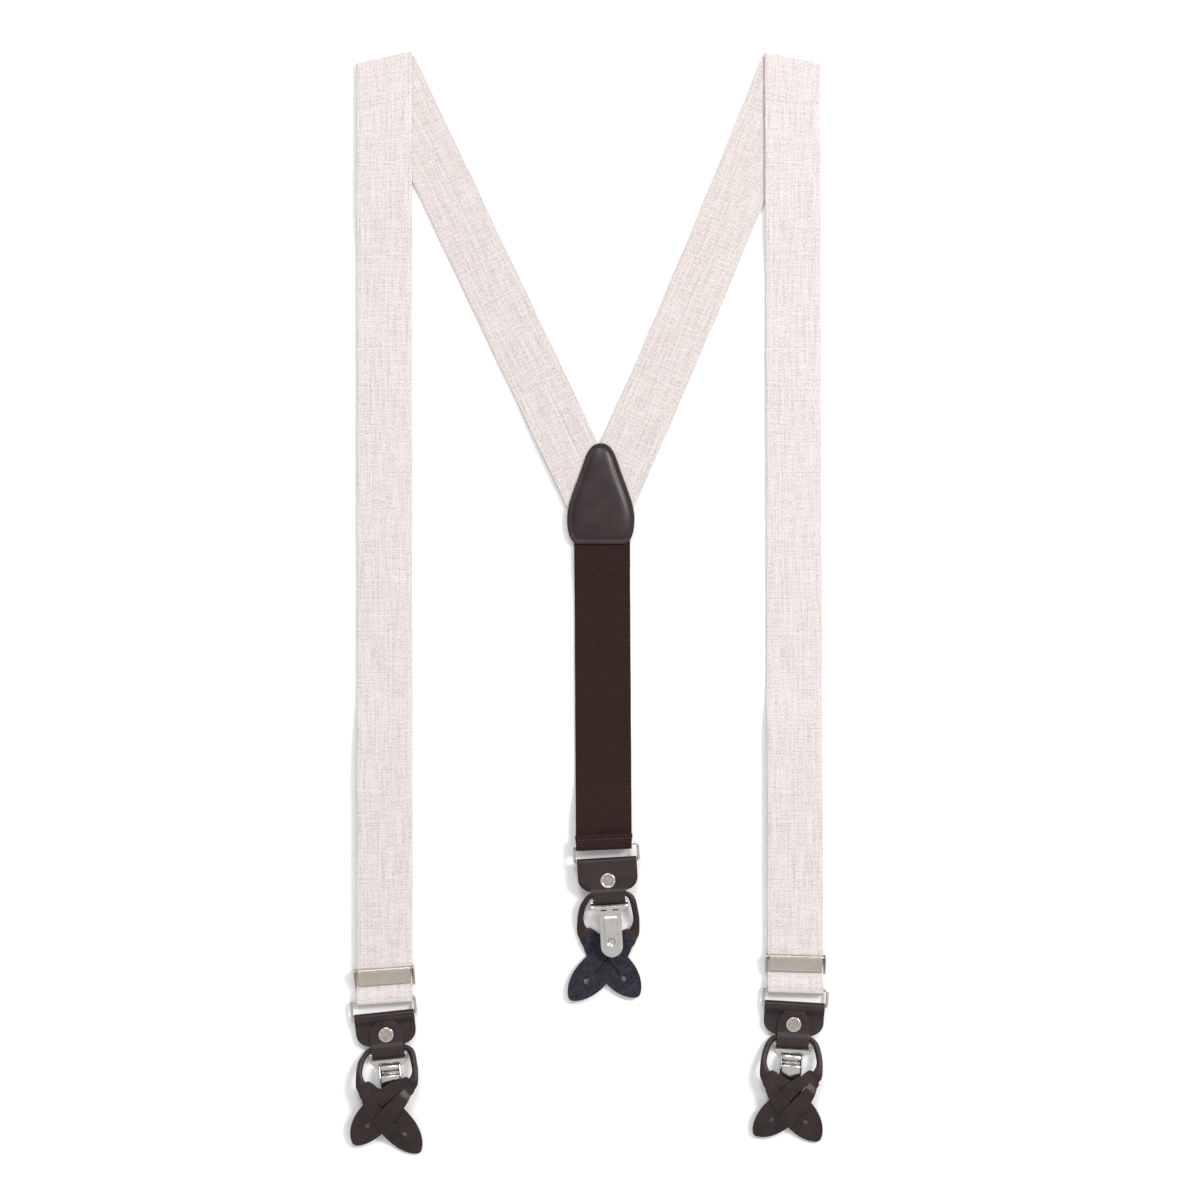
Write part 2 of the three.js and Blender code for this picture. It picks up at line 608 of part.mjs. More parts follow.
const PLATE_MIDDLE = PLATE_HEIGHT + SHEET / 2;
const EAR = SHEET + 0.1;
const JAW_HALF_WIDTH = CLIP_WIDTH / 2 - EAR - SIDE_CLEAR;
const JAW_MIDDLE = PLATE_HEIGHT + SHEET + 3 * GAP + 2 * PAD_THICK + SHEET / 2;
const HEAD_HALF_WIDTH = NECK_HALF_WIDTH + 0.4 + 1.4;

function clipPlan() {
  const half = CLIP_WIDTH / 2;
  const shape = new THREE.Shape();
  shape.moveTo(-HEAD_HALF_WIDTH, BAR_Y + 1);
  shape.lineTo(-HEAD_HALF_WIDTH, BAR_Y - 4);
  shape.bezierCurveTo(-HEAD_HALF_WIDTH, BAR_Y - 6.5, -half, CLIP_SHOULDER_Y + 2, -half, CLIP_SHOULDER_Y);
  shape.lineTo(-half, CLIP_END_Y + half);
  shape.absarc(0, CLIP_END_Y + half, half, Math.PI, Math.PI * 2, false);
  shape.lineTo(half, CLIP_SHOULDER_Y);
  shape.bezierCurveTo(half, CLIP_SHOULDER_Y + 2, HEAD_HALF_WIDTH, BAR_Y - 6.5, HEAD_HALF_WIDTH, BAR_Y - 4);
  shape.lineTo(HEAD_HALF_WIDTH, BAR_Y + 1);
  return shape;
}

function clipEars() {
  const side = new THREE.Shape();
  side.moveTo(JAW_PIN.y + 3.2, PLATE_HEIGHT + 0.2);
  side.lineTo(JAW_PIN.y + 2.6, JAW_PIN.z + 1);
  side.quadraticCurveTo(JAW_PIN.y + 1.8, LEVER_PIN.z + 0.6, LEVER_PIN.y + 1, LEVER_PIN.z + 1.6);
  side.absarc(LEVER_PIN.y, LEVER_PIN.z, 1.8, Math.PI * 0.35, Math.PI * 1.1, false);
  side.lineTo(LEVER_PIN.y - 2.6, PLATE_HEIGHT + 0.2);
  const inside = CLIP_WIDTH / 2 - EAR;
  return common(profile(side, CLIP_WIDTH), join(
    block(-CLIP_WIDTH, -inside, -40, 0, 0, 12),
    block(inside, CLIP_WIDTH, -40, 0, 0, 12),
  ));
}

function clipBody() {
  const path = new THREE.Path();
  path.moveTo(BAR_Y, CORD_HEIGHT);
  path.lineTo(BAR_Y - 0.6, CORD_HEIGHT);
  easeTo(path, BAR_Y - 4.4, PLATE_MIDDLE);
  path.lineTo(CLIP_END_Y, PLATE_MIDDLE);
  const sheet = common(band(path.getPoints(5), 2 * HEAD_HALF_WIDTH, SHEET), slab(clipPlan(), -1, 9));
  const slotHalf = NECK_HALF_WIDTH + 0.4;
  const slot = block(-slotHalf, slotHalf, BAR_Y - 3.8, BAR_Y, -1, 9);
  const slits = [-1, 1].map((way) => block(way * 4.3 - 2.2, way * 4.3 + 2.2, -18.4, -17.6, -1, 2));
  const bar = crossBar(BAR_RADIUS, HEAD_HALF_WIDTH, BAR_Y, CORD_HEIGHT);
  const rib = block(-RIB_WIDTH / 2, RIB_WIDTH / 2, -42.8, -22.7, 0, PLATE_HEIGHT + 0.2);
  const holes = [
    crossBar(JAW_PIN_RADIUS + GAP, CLIP_WIDTH, JAW_PIN.y, JAW_PIN.z),
    crossBar(LEVER_PIN_RADIUS + GAP, CLIP_WIDTH, LEVER_PIN.y, LEVER_PIN.z),
  ];
  return cut(join(cut(sheet, slot, ...slits), bar, rib, clipEars()), ...holes);
}

function jawPlan() {
  const half = JAW_HALF_WIDTH;
  const shape = new THREE.Shape();
  shape.moveTo(-half, JAW_PIN.y);
  shape.lineTo(-half, CLIP_END_Y + 1 + half);
  shape.absarc(0, CLIP_END_Y + 1 + half, half, Math.PI, Math.PI * 2, false);
  shape.lineTo(half, JAW_PIN.y);
  return shape;
}

function clipJaw() {
  const knuckle = crossBar(KNUCKLE_RADIUS, JAW_HALF_WIDTH, JAW_PIN.y, JAW_PIN.z, 20);
  const plate = slab(jawPlan(), JAW_MIDDLE - SHEET / 2, JAW_MIDDLE + SHEET / 2);
  return cut(join(knuckle, plate), crossBar(JAW_PIN_RADIUS + GAP, CLIP_WIDTH, JAW_PIN.y, JAW_PIN.z));
}

function clipLever() {
  const { y, z } = LEVER_PIN;
  const hub = crossBar(HUB_RADIUS, JAW_HALF_WIDTH, y, z);
  const cam = crossBar(HUB_RADIUS, JAW_HALF_WIDTH, y, z - CAM_OFFSET);
  const drop = (z + HUB_RADIUS - SHEET / 2) - (JAW_MIDDLE + SHEET / 2 + 1.1);
  const handle = [[y, z + HUB_RADIUS - SHEET / 2], [y - HANDLE, z + HUB_RADIUS - SHEET / 2 - drop]];
  const plate = band(handle.map((p) => new THREE.Vector2(...p)), 2 * JAW_HALF_WIDTH, SHEET);
  return cut(join(hub, cam, plate), crossBar(LEVER_PIN_RADIUS + 0.2, CLIP_WIDTH, y, z));
}

function pad(z0) {
  const half = JAW_HALF_WIDTH - 0.8;
  return block(-half, half, CLIP_END_Y + 2.4, CLIP_END_Y + 2.4 + PAD_LENGTH, z0, z0 + PAD_THICK);
}

function addClip(holderBody, name) {
  const clip = makeBody(holderBody, `${name}_clip`, new THREE.Vector3(0, BAR_Y, CORD_HEIGHT));
  addPiece(clip, `${name}_clip_body`, clipBody(), nickel);
  const jawPin = crossBar(JAW_PIN_RADIUS, CLIP_WIDTH / 2 + 0.2, JAW_PIN.y, JAW_PIN.z);
  addPiece(clip, `${name}_jaw_pin`, jawPin, nickel);
  const leverPin = crossBar(LEVER_PIN_RADIUS, CLIP_WIDTH / 2 + 0.2, LEVER_PIN.y, LEVER_PIN.z);
  addPiece(clip, `${name}_lever_pin`, leverPin, nickel);
  addPiece(clip, `${name}_pad_lower`, pad(PLATE_HEIGHT + SHEET + GAP), plastic);
  const jaw = makeBody(clip, `${name}_jaw`, JAW_PIN);
  addPiece(jaw, `${name}_clip_jaw`, clipJaw(), nickel);
  addPiece(jaw, `${name}_pad_upper`, pad(JAW_MIDDLE - SHEET / 2 - GAP - PAD_THICK), plastic);
  const lever = makeBody(clip, `${name}_lever`, LEVER_PIN);
  addPiece(lever, `${name}_clip_lever`, clipLever(), nickel);
}

// A whole end below its ring's upper bar, which lies at the parent's origin.
function addEnd(parent, name) {
  const end = ENDS[name];
  const place = new THREE.Group();
  place.position.set(end.shift, 0, 0);
  place.rotation.z = degToRad(end.tilt);
  parent.add(place);
  const facing = new THREE.Group();
  facing.rotation.y = end.flipped ? Math.PI : 0;
  place.add(facing);
  const ringPivot = new THREE.Vector3(0, UPPER_BAR_Y, FRONT_RING_HEIGHT);
  const drawing = new THREE.Group();
  drawing.position.copy(ringPivot).negate();
  facing.add(drawing);
  const ringBody = makeBody(drawing, `${name}_ring_body`, ringPivot);
  addPiece(ringBody, `${name}_ring`, ring(), nickel);
  const holderPivot = new THREE.Vector3(0, LOWER_BAR_Y, FRONT_RING_HEIGHT);
  const holderBody = makeBody(ringBody, `${name}_holder_body`, holderPivot);
  addPiece(holderBody, `${name}_holder`, holder(), leather);
  addPiece(holderBody, `${name}_rivet_cap`, rivetCap(), nickel);
  addPiece(holderBody, `${name}_rivet_post`, rivetPost(), nickel);
  const loopBody = makeBody(holderBody, `${name}_loop_body`, new THREE.Vector3(0, CORD_Y, CORD_HEIGHT));
  addPiece(loopBody, `${name}_button_loop`, buttonLoop(end), leather);
  addPiece(loopBody, `${name}_tab_felt`, tabFelt(end), felt);
  addClip(holderBody, name);
}

for (const [name, side] of Object.entries(SIDES)) {
  const fold = foldPoint(side);
  const front = frontStrap(side, ADJUSTER_RISE[name]).translate(fold.x, fold.y, 0);
  addPiece(root, `${name}_front_strap`, front, linen);
  addPiece(root, `${name}_back_strap`, backStrap(side), linen);
  const barPlace = new THREE.Vector3(fold.x + side.lean, fold.y - side.frontDrop, FRONT_RING_HEIGHT);
  const loop = makeBody(root, `${name}_strap_loop`, barPlace);
  const tail = strapTail(side, ADJUSTER_RISE[name]).translate(barPlace.x, barPlace.y, 0);
  addPiece(loop, `${name}_strap_tail`, tail, linen);
  addAdjuster(loop, name, side, ADJUSTER_RISE[name]);
  addEnd(loop, name);
}

addPiece(root, 'crosspatch_outer', slab(crosspatchShape(), 0, PATCH_THICK), leather);
const innerPatchHeight = IN_PATCH + STRAP_THICK / 2 + GAP;
const innerPatch = slab(crosspatchShape(), innerPatchHeight, innerPatchHeight + PATCH_THICK);
addPiece(root, 'crosspatch_inner', innerPatch, leather);
addPiece(root, 'rear_elastic', rearElastic(), elastic);
const rearPlace = new THREE.Vector3(ELASTIC_SHIFT + ELASTIC_LEAN, -ELASTIC_DROP, REAR_RING_HEIGHT);
const rearLoop = makeBody(root, 'rear_elastic_end', rearPlace);
addPiece(rearLoop, 'rear_elastic_fold', rearElasticFold(), elastic);
addEnd(rearLoop, 'rear');

// The origin is the middle of the surface that the suspenders lie on.
const bounds = new THREE.Box3().setFromObject(assembly, true);
const middle = bounds.getCenter(new THREE.Vector3());
assembly.position.set(-middle.x, -middle.y, -bounds.min.z);

export default assembly;
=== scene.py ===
# %% [markdown]
# # Y-back suspenders, laid flat
#
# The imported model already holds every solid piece, its size and its joints. This script dresses that
# frame: woven straps, ribbed elastic, leather, felt and polished nickel. Lengths are written in
# millimetres, as a maker would measure them, and turned into metres where a mesh is made.

# %% Load the frame
import math
import json

import bmesh
import bpy
from mathutils import Matrix, Vector, noise


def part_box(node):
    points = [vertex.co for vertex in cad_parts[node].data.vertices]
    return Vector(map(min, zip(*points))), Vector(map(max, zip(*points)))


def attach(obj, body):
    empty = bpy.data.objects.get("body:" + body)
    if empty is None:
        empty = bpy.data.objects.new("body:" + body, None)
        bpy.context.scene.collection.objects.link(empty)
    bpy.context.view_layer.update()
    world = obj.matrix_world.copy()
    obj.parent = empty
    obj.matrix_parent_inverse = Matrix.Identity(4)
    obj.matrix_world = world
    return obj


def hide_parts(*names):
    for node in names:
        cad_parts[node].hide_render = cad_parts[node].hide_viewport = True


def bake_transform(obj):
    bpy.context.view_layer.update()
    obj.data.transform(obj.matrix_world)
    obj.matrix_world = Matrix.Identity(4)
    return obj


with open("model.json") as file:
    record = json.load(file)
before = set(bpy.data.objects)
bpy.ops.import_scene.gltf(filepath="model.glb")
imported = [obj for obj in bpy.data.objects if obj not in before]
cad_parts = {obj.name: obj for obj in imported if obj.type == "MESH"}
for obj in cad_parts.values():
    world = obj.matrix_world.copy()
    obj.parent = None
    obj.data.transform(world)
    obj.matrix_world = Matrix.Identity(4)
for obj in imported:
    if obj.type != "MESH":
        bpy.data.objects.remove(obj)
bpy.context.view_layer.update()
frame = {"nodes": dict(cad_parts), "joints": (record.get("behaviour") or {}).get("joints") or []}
MM = 0.001
UP = Vector((0, 0, 1))
SIDES = ("left", "right")
ENDS = ("left", "right", "rear")


# %% [markdown]
# ## Small tools
#
# Nearly everything on suspenders is a strip: a strap, a leather tongue or a stamped plate. A strip is
# easiest to make as a flat grid whose rows are then laid along a side view of (along, height) points,
# and whose columns spread to a half width. The side views are built from lines, soft S-curves and arcs.

# %% Side views
def line(start, end, count):
    """Points from just after start to end."""
    return [Vector(start).lerp(Vector(end), i / count) for i in range(1, count + 1)]


def starting(start, end, count):
    """The same with start itself in front."""
    return [Vector(start)] + line(start, end, count)


def bezier(a, b, c, d, count):
    """Points of a curve from just after a to d."""
    points = []
    for i in range(1, count + 1):
        t = i / count
        points.append((1 - t) ** 3 * a + 3 * t * (1 - t) ** 2 * b + 3 * t * t * (1 - t) * c + t**3 * d)
    return points


def ease(start, end, count):
    """A soft S-curve that leaves and arrives level."""
    middle = (start[0] + end[0]) / 2
    return bezier(Vector(start), Vector((middle, start[1])), Vector((middle, end[1])), Vector(end), count)


def arc(centre, radius, first, last, count):
    """Part of a circle; angles in degrees, from the along direction towards up."""
    points = []
    for i in range(count + 1):
        angle = math.radians(first + (last - first) * i / count)
        points.append(Vector((centre[0] + radius * math.cos(angle), centre[1] + radius * math.sin(angle))))
    return points


def smooth_between(value, low, high):
    """0 below low, 1 above high, and a smooth rise between them."""
    t = min(1.0, max(0.0, (value - low) / (high - low)))
    return t * t * (3 - 2 * t)


def plateau(value, start, full, fall, end):
    """0 up to start, 1 from full to fall, and 0 again past end."""
    return smooth_between(value, start, full) * (1 - smooth_between(value, fall, end))


def bell(value, centre, width, height):
    """A smooth bump: height at the centre, and nothing a few widths away."""
    return height * math.exp(-(((value - centre) / width) ** 2))


# %% Making objects
def in_frame(bm, place=None, outwards=True):
    """Moves a bmesh drawn in mm to its place, points its faces outwards and makes it metres."""
    if place:
        bmesh.ops.transform(bm, matrix=place, verts=bm.verts)
    if outwards:
        bmesh.ops.recalc_face_normals(bm, faces=bm.faces[:])
    bmesh.ops.scale(bm, vec=(MM, MM, MM), verts=bm.verts)


def row_numbers(verts):
    """The row of a new grid for each height in it."""
    return {y: i for i, y in enumerate(sorted({round(v.co.y, 5) for v in verts}))}


def new_object(name, bm, material, body, replaces=(), smooth=True):
    """Turns a bmesh in metres into a piece that rides on a body."""
    mesh = bpy.data.meshes.new(name)
    bm.to_mesh(mesh)
    bm.free()
    for face in mesh.polygons:
        face.use_smooth = smooth
    piece = bpy.data.objects.new(name, mesh)
    bpy.context.scene.collection.objects.link(piece)
    for one in material if isinstance(material, (list, tuple)) else [material]:
        mesh.materials.append(one)
    if replaces:
        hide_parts(*replaces)
    if body:
        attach(piece, body)
    return piece


def round_edges(piece, width, segments=2, sharper_than=50):
    """Bevels the edges that turn by more than an angle in degrees."""
    edge = piece.modifiers.new("edges", "BEVEL")
    edge.width, edge.segments, edge.limit_method = width * MM, segments, "ANGLE"
    edge.angle_limit = math.radians(sharper_than)
    return edge


def thicken(piece, thickness, rounding, segments=2):
    """Gives a sheet its thickness, half to each side, and rounded edges."""
    wall = piece.modifiers.new("thickness", "SOLIDIFY")
    wall.thickness, wall.offset = thickness * MM, 0.0
    round_edges(piece, rounding, segments)


def strip_mesh(spine, half, columns, move=None, place=None, uv_start=0.0):
    """A grid laid along spine. half(point, share) is its half width, move(point, side) shapes it in mm and
    place is a matrix from there to the row frame in mm. side runs from -1 to 1 across the strip.
    Its UV map is (across, along) in metres."""
    bm = bmesh.new()
    uv = bm.loops.layers.uv.new("weave")
    bmesh.ops.create_grid(bm, x_segments=columns, y_segments=len(spine) - 1, size=1)
    rows = row_numbers(bm.verts)
    assert len(rows) == len(spine), "two rows of the grid fell together"
    lengths = [0.0]
    for a, b in zip(spine, spine[1:]):
        lengths.append(lengths[-1] + (b - a).length)
    marks = {}
    for vert in bm.verts:
        row, side = rows[round(vert.co.y, 5)], vert.co.x
        across = side * half(spine[row], lengths[row] / lengths[-1])
        marks[vert] = (across * MM, (uv_start + lengths[row]) * MM)
        point = Vector((across, spine[row].x, spine[row].y))
        vert.co = move(point, side) if move else point
    for face in bm.faces:
        for loop in face.loops:
            loop[uv].uv = marks[loop.vert]
    in_frame(bm, place, outwards=False)
    return bm


def stitches(name, seam, body, thread, length=1.9, width=0.55, height=0.35):
    """A row of stitches. seam holds (position, direction, up) in mm, one for each stitch."""
    bm = bmesh.new()
    for position, direction, up in seam:
        along = direction.normalized()
        lift = (up - up.dot(along) * along).normalized()
        turn = Matrix((along, lift.cross(along), lift)).transposed().to_4x4()
        size = Matrix.Diagonal((length / 2, width / 2, height / 2, 1))
        bmesh.ops.create_icosphere(bm, subdivisions=1, radius=1, matrix=Matrix.Translation(position) @ turn @ size)
    in_frame(bm, outwards=False)
    return new_object(name, bm, thread, body)


def along_line(points, pitch):
    """Evenly spaced (position, direction) pairs along a polyline in mm."""
    found, carried = [], pitch / 2
    for a, b in zip(points, points[1:]):
        step = b - a
        while carried < step.length:
            found.append((a + step * (carried / step.length), step))
            carried += pitch
        carried -= step.length
    return found


# %% [markdown]
# ## Materials
#
# The cloth reads the piece's own UV map, which is laid out in metres across and along the strip, so
# threads run with each strap whatever its direction. Leather, felt and metal read object coordinates. A helper adds
# one node and wires it.

# %% Node helper
def add(tree, kind, inputs=None, **settings):
    node = tree.nodes.new(kind)
    for key, value in settings.items():
        setattr(node, key, value)
    for key, value in (inputs or {}).items():
        if isinstance(value, bpy.types.NodeSocket):
            tree.links.new(value, node.inputs[key])
        else:
            node.inputs[key].default_value = value
    return node


def material(name, roughness, **sockets):
    made = bpy.data.materials.new(name)
    made.use_nodes = True
    shader = made.node_tree.nodes["Principled BSDF"]
    shader.inputs["Roughness"].default_value = roughness
    for key, value in sockets.items():
        shader.inputs[key.replace("_", " ")].default_value = value
    return made, made.node_tree, shader


def coordinates(tree, kind="Object"):
    return add(tree, "ShaderNodeTexCoord").outputs[kind]


def grain(tree, place, scale, detail=2.0, roughness=0.5):
    """Plain noise, scale in cycles per metre."""
    inputs = {"Vector": place, "Scale": scale, "Detail": detail, "Roughness": roughness}
    return add(tree, "ShaderNodeTexNoise", inputs).outputs["Fac"]


def streaks(tree, place, across, along, detail=2.0):
    """Noise stretched into threads: across and along are cycles per metre."""
    placed = add(tree, "ShaderNodeMapping", {"Vector": place, "Scale": (across, along, 1.0)})
    return grain(tree, placed.outputs[0], 1.0, detail, 0.6)


def waves(tree, place, pitch, direction, distortion=0.0):
    """Even ribs, pitch in metres. A wave texture of scale 1 has a period of 2 pi / 20."""
    return add(tree, "ShaderNodeTexWave", {
        "Vector": place, "Scale": 2 * math.pi / (20 * pitch), "Distortion": distortion, "Detail": 1.0,
        "Detail Scale": 2.0,
    }, bands_direction=direction).outputs["Fac"]


def mixed(tree, a, b, share, kind="MIX"):
    """Two values joined by a Math or a float Mix."""
    if kind == "MIX":
        return add(tree, "ShaderNodeMix", {0: share, 2: a, 3: b}).outputs[0]
    return add(tree, "ShaderNodeMath", {0: a, 1: b}, operation=kind).outputs[0]


def ramp(tree, value, stops):
    node = add(tree, "ShaderNodeValToRGB", {"Fac": value})
    while len(node.color_ramp.elements) < len(stops):
        node.color_ramp.elements.new(0.5)
    for element, (position, colour) in zip(node.color_ramp.elements, stops):
        element.position, element.color = position, (*colour, 1)
    return node.outputs["Color"]


def paint(tree, shader, value, stops):
    """Colours the surface by a value."""
    tree.links.new(ramp(tree, value, stops), shader.inputs["Base Color"])


def vary_gloss(tree, shader, value, low, high):
    """Lets the roughness run from low to high with a value."""
    gloss = add(tree, "ShaderNodeMapRange", {"Value": value, "To Min": low, "To Max": high})
    tree.links.new(gloss.outputs[0], shader.inputs["Roughness"])


def bump(tree, shader, height, strength, depth_mm):
    node = add(tree, "ShaderNodeBump", {"Height": height, "Strength": strength, "Distance": depth_mm * MM})
    tree.links.new(node.outputs[0], shader.inputs["Normal"])


# %% [markdown]
# ### Linen
#
# Linen yarn is uneven: long slubs run with the strap, shorter ones across it, and a plain weave sits
# over both. Three scales of pattern, each faint, read better than one strong one.

# %% Linen
def make_linen(name, light, dark):
    made, tree, shader = material(name, 0.92, Sheen_Weight=0.1, Sheen_Roughness=0.6, Specular_IOR_Level=0.2)
    uv = coordinates(tree, "UV")
    warp_slubs = streaks(tree, uv, 620, 38, 3)
    weft_slubs = streaks(tree, uv, 60, 620, 3)
    yarns = streaks(tree, uv, 820, 820, 2)
    warp = waves(tree, uv, 0.00118, "X", 1.0)
    weft = waves(tree, uv, 0.0013, "Y", 1.4)
    knots = mixed(tree, warp, weft, 0.5, "MULTIPLY")
    slubs = mixed(tree, warp_slubs, weft_slubs, 0.42)
    tone = mixed(tree, mixed(tree, slubs, yarns, 0.45), knots, 0.16)
    between = [(a * 2 + b) / 3 for a, b in zip(light, dark)]
    paint(tree, shader, tone, [(0.33, dark), (0.46, between), (0.58, light)])
    bump(tree, shader, mixed(tree, knots, yarns, 0.5), 0.6, 0.4)
    return made


linen_face = make_linen("linen_face", (0.735, 0.685, 0.67), (0.44, 0.385, 0.378))
linen_inside = make_linen("linen_inside", (0.71, 0.65, 0.635), (0.42, 0.355, 0.348))


# %% [markdown]
# ### Elastic, leather and felt
#
# Elastic webbing has fine lengthwise ribs crossed by the weft. Leather is a soft gloss over a pebbled
# grain, with slow changes of tone. Felt has no direction: it is short fibres with a little sheen.

# %% Elastic
elastic_web, tree, shader = material("elastic_web", 0.9, Sheen_Weight=0.04, Specular_IOR_Level=0.12)
uv = coordinates(tree, "UV")
ribs = waves(tree, uv, 0.0012, "X", 0.8)
picks = waves(tree, uv, 0.0011, "Y", 1.2)
fibres = streaks(tree, uv, 240, 1100, 3)
tone = mixed(tree, mixed(tree, ribs, picks, 0.7), fibres, 0.6)
paint(tree, shader, tone, [(0.25, (0.013, 0.006, 0.0055)), (0.75, (0.040, 0.018, 0.016))])
bump(tree, shader, mixed(tree, ribs, picks, 0.6), 0.6, 0.3)


# %% Leather
def make_leather(name, light, dark, roughness):
    made, tree, shader = material(name, roughness, Specular_IOR_Level=0.36)
    place = coordinates(tree)
    cells = add(tree, "ShaderNodeTexVoronoi", {"Vector": place, "Scale": 1700.0}, feature="SMOOTH_F1")
    clouds = grain(tree, place, 90.0, 4.0)
    pores = grain(tree, place, 1400.0, 3.0)
    paint(tree, shader, mixed(tree, clouds, pores, 0.3), [(0.35, dark), (0.65, light)])
    vary_gloss(tree, shader, clouds, roughness - 0.08, roughness + 0.12)
    bump(tree, shader, mixed(tree, cells.outputs["Distance"], pores, 0.5), 0.35, 0.18)
    return made


leather_smooth = make_leather("leather_smooth", (0.028, 0.0135, 0.0135), (0.014, 0.007, 0.0072), 0.42)
leather_patch = make_leather("leather_patch", (0.031, 0.017, 0.018), (0.016, 0.0085, 0.0095), 0.34)

# %% Felt
felt, tree, shader = material("felt", 0.98, Sheen_Weight=0.12, Specular_IOR_Level=0.1)
place = coordinates(tree)
tufts = grain(tree, place, 800.0, 5.0, 0.75)
mats = grain(tree, place, 260.0)
tone = mixed(tree, tufts, mats, 0.3)
paint(tree, shader, tone, [(0.34, (0.007, 0.0072, 0.011)), (0.64, (0.040, 0.041, 0.056))])
bump(tree, shader, tufts, 0.8, 0.35)


# %% [markdown]
# ### Nickel, pads and thread
#
# Polished nickel is a warm mirror whose gloss varies where it has been handled. The rivet's face is knurled,
# so it gets its own material: a crossed relief with painted shade in its grooves. Thread is twisted, nearly matt.

# %% Nickel
def make_nickel(name, roughness, colour, knurl=None):
    made, tree, shader = material(name, roughness, Metallic=1.0)
    place = coordinates(tree)
    smears = grain(tree, place, 220.0, 3.0)
    vary_gloss(tree, shader, smears, roughness * 0.6, roughness * 1.5)
    if knurl:
        turned = add(tree, "ShaderNodeMapping", {"Vector": place, "Rotation": (0, 0, math.radians(45))}).outputs[0]
        crossed = mixed(tree, waves(tree, turned, knurl, "X"), waves(tree, turned, knurl, "Y"), 0.5)
        bump(tree, shader, crossed, 0.9, 0.4)
        # Painted shade: where the crossed relief is low, in the knurl's grooves, the colour is darkened to 0.45 of
        # itself.
        paint(tree, shader, crossed, [(0.25, [c * 0.45 for c in colour]), (0.6, colour)])
    else:
        paint(tree, shader, smears, [(0.3, [c * 0.9 for c in colour]), (0.7, colour)])
        bump(tree, shader, smears, 0.04, 0.3)
    return made


nickel = make_nickel("nickel", 0.2, (0.60, 0.575, 0.55))
nickel_worn = make_nickel("nickel_worn", 0.34, (0.56, 0.50, 0.44))
nickel_knurled = make_nickel("nickel_knurled", 0.36, (0.50, 0.465, 0.40), 0.0009)

# %% Pads and thread
pad_plastic, tree, shader = material("pad_plastic", 0.4)
place = coordinates(tree)
paint(tree, shader, grain(tree, place, 300.0), [(0.3, (0.68, 0.66, 0.6)), (0.7, (0.78, 0.77, 0.72))])


def make_thread(name, light, dark):
    made, tree, shader = material(name, 0.75, Sheen_Weight=0.1)
    place = coordinates(tree)
    paint(tree, shader, grain(tree, place, 1600.0), [(0.35, dark), (0.65, light)])
    return made


thread_brown = make_thread("thread_brown", (0.055, 0.032, 0.032), (0.015, 0.009, 0.009))
thread_rust = make_thread("thread_rust", (0.13, 0.05, 0.048), (0.05, 0.02, 0.02))
print("materials:", len(bpy.data.materials))


# %% [markdown]
# ## Straps
#
# A strap is webbing inside a linen sleeve. Each one starts at its shoulder fold, 317.9 or 311.3 mm up
# and out from the point where the two back straps meet. The front run lies on the back run near the
# fold, comes down to the surface, and rises again to pass over its adjuster and round its ring.

# %% Places and sizes shared with the frame
WIDTH, THICK, GAP = 35.0, 1.5, 0.3
LIE = THICK / 2
OVER = LIE + THICK + GAP
FOLD_RADIUS = (OVER - LIE) / 2
WIRE = 1.8
FRONT_RING_HEIGHT = 3.3
REAR_RING_HEIGHT = 7.3
WRAP = WIRE / 2 + 0.45 + THICK / 2
TAIL = FRONT_RING_HEIGHT - WRAP
CLAMPED = TAIL + THICK + 2 * GAP + 0.8
IN_PATCH = 1.2 + GAP + THICK / 2
PATCH_TOP, PATCH_BOTTOM, PATCH_HALF = 43.9, -19.5, 21.25
patch_low, patch_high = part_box("crosspatch_inner")
junction = Vector(((patch_low.x + patch_high.x) / 2 / MM, patch_high.y / MM - PATCH_TOP, 0))
RUNS = {
    "left": dict(sign=-1, run=317.9, angle=25.4, bow=0, drop=593, lean=0.4, tilt=4.2, rise=14, seam=3.2),
    "right": dict(sign=1, run=311.3, angle=22.8, bow=1.8, drop=586.3, lean=1.8, tilt=-1.6, rise=15.6, seam=-3.2),
}
print("junction, mm:", [round(v, 2) for v in junction])


def fold_of(side):
    angle = math.radians(side["angle"])
    return junction + Vector((side["sign"] * side["run"] * math.sin(angle), side["run"] * math.cos(angle), 0))


def overlap_of(side):
    angle = math.radians(side["angle"])
    return (WIDTH / 2) * (1 + 1 / math.cos(angle)) / math.tan(angle) + 10


# %% [markdown]
# The sleeve is a little loose, so its edges wander by a few tenths of a millimetre. The wander comes
# from a built-in noise read at fixed places, so it is the same on every run.

# %% Front straps
TRAVEL = 120
ADJUSTER_LENGTH = 12
half_strap = lambda point, share: WIDTH / 2


def wander(x, y, seed):
    """Sideways and upward wander of the cloth in mm, strongest at its edges."""
    spot = Vector((seed, y / 26, x / 60))
    return 0.28 * noise.noise(spot) * (0.4 + abs(x) / WIDTH), 0.1 * noise.noise(spot * 2.3 + Vector((9, 0, 0)))


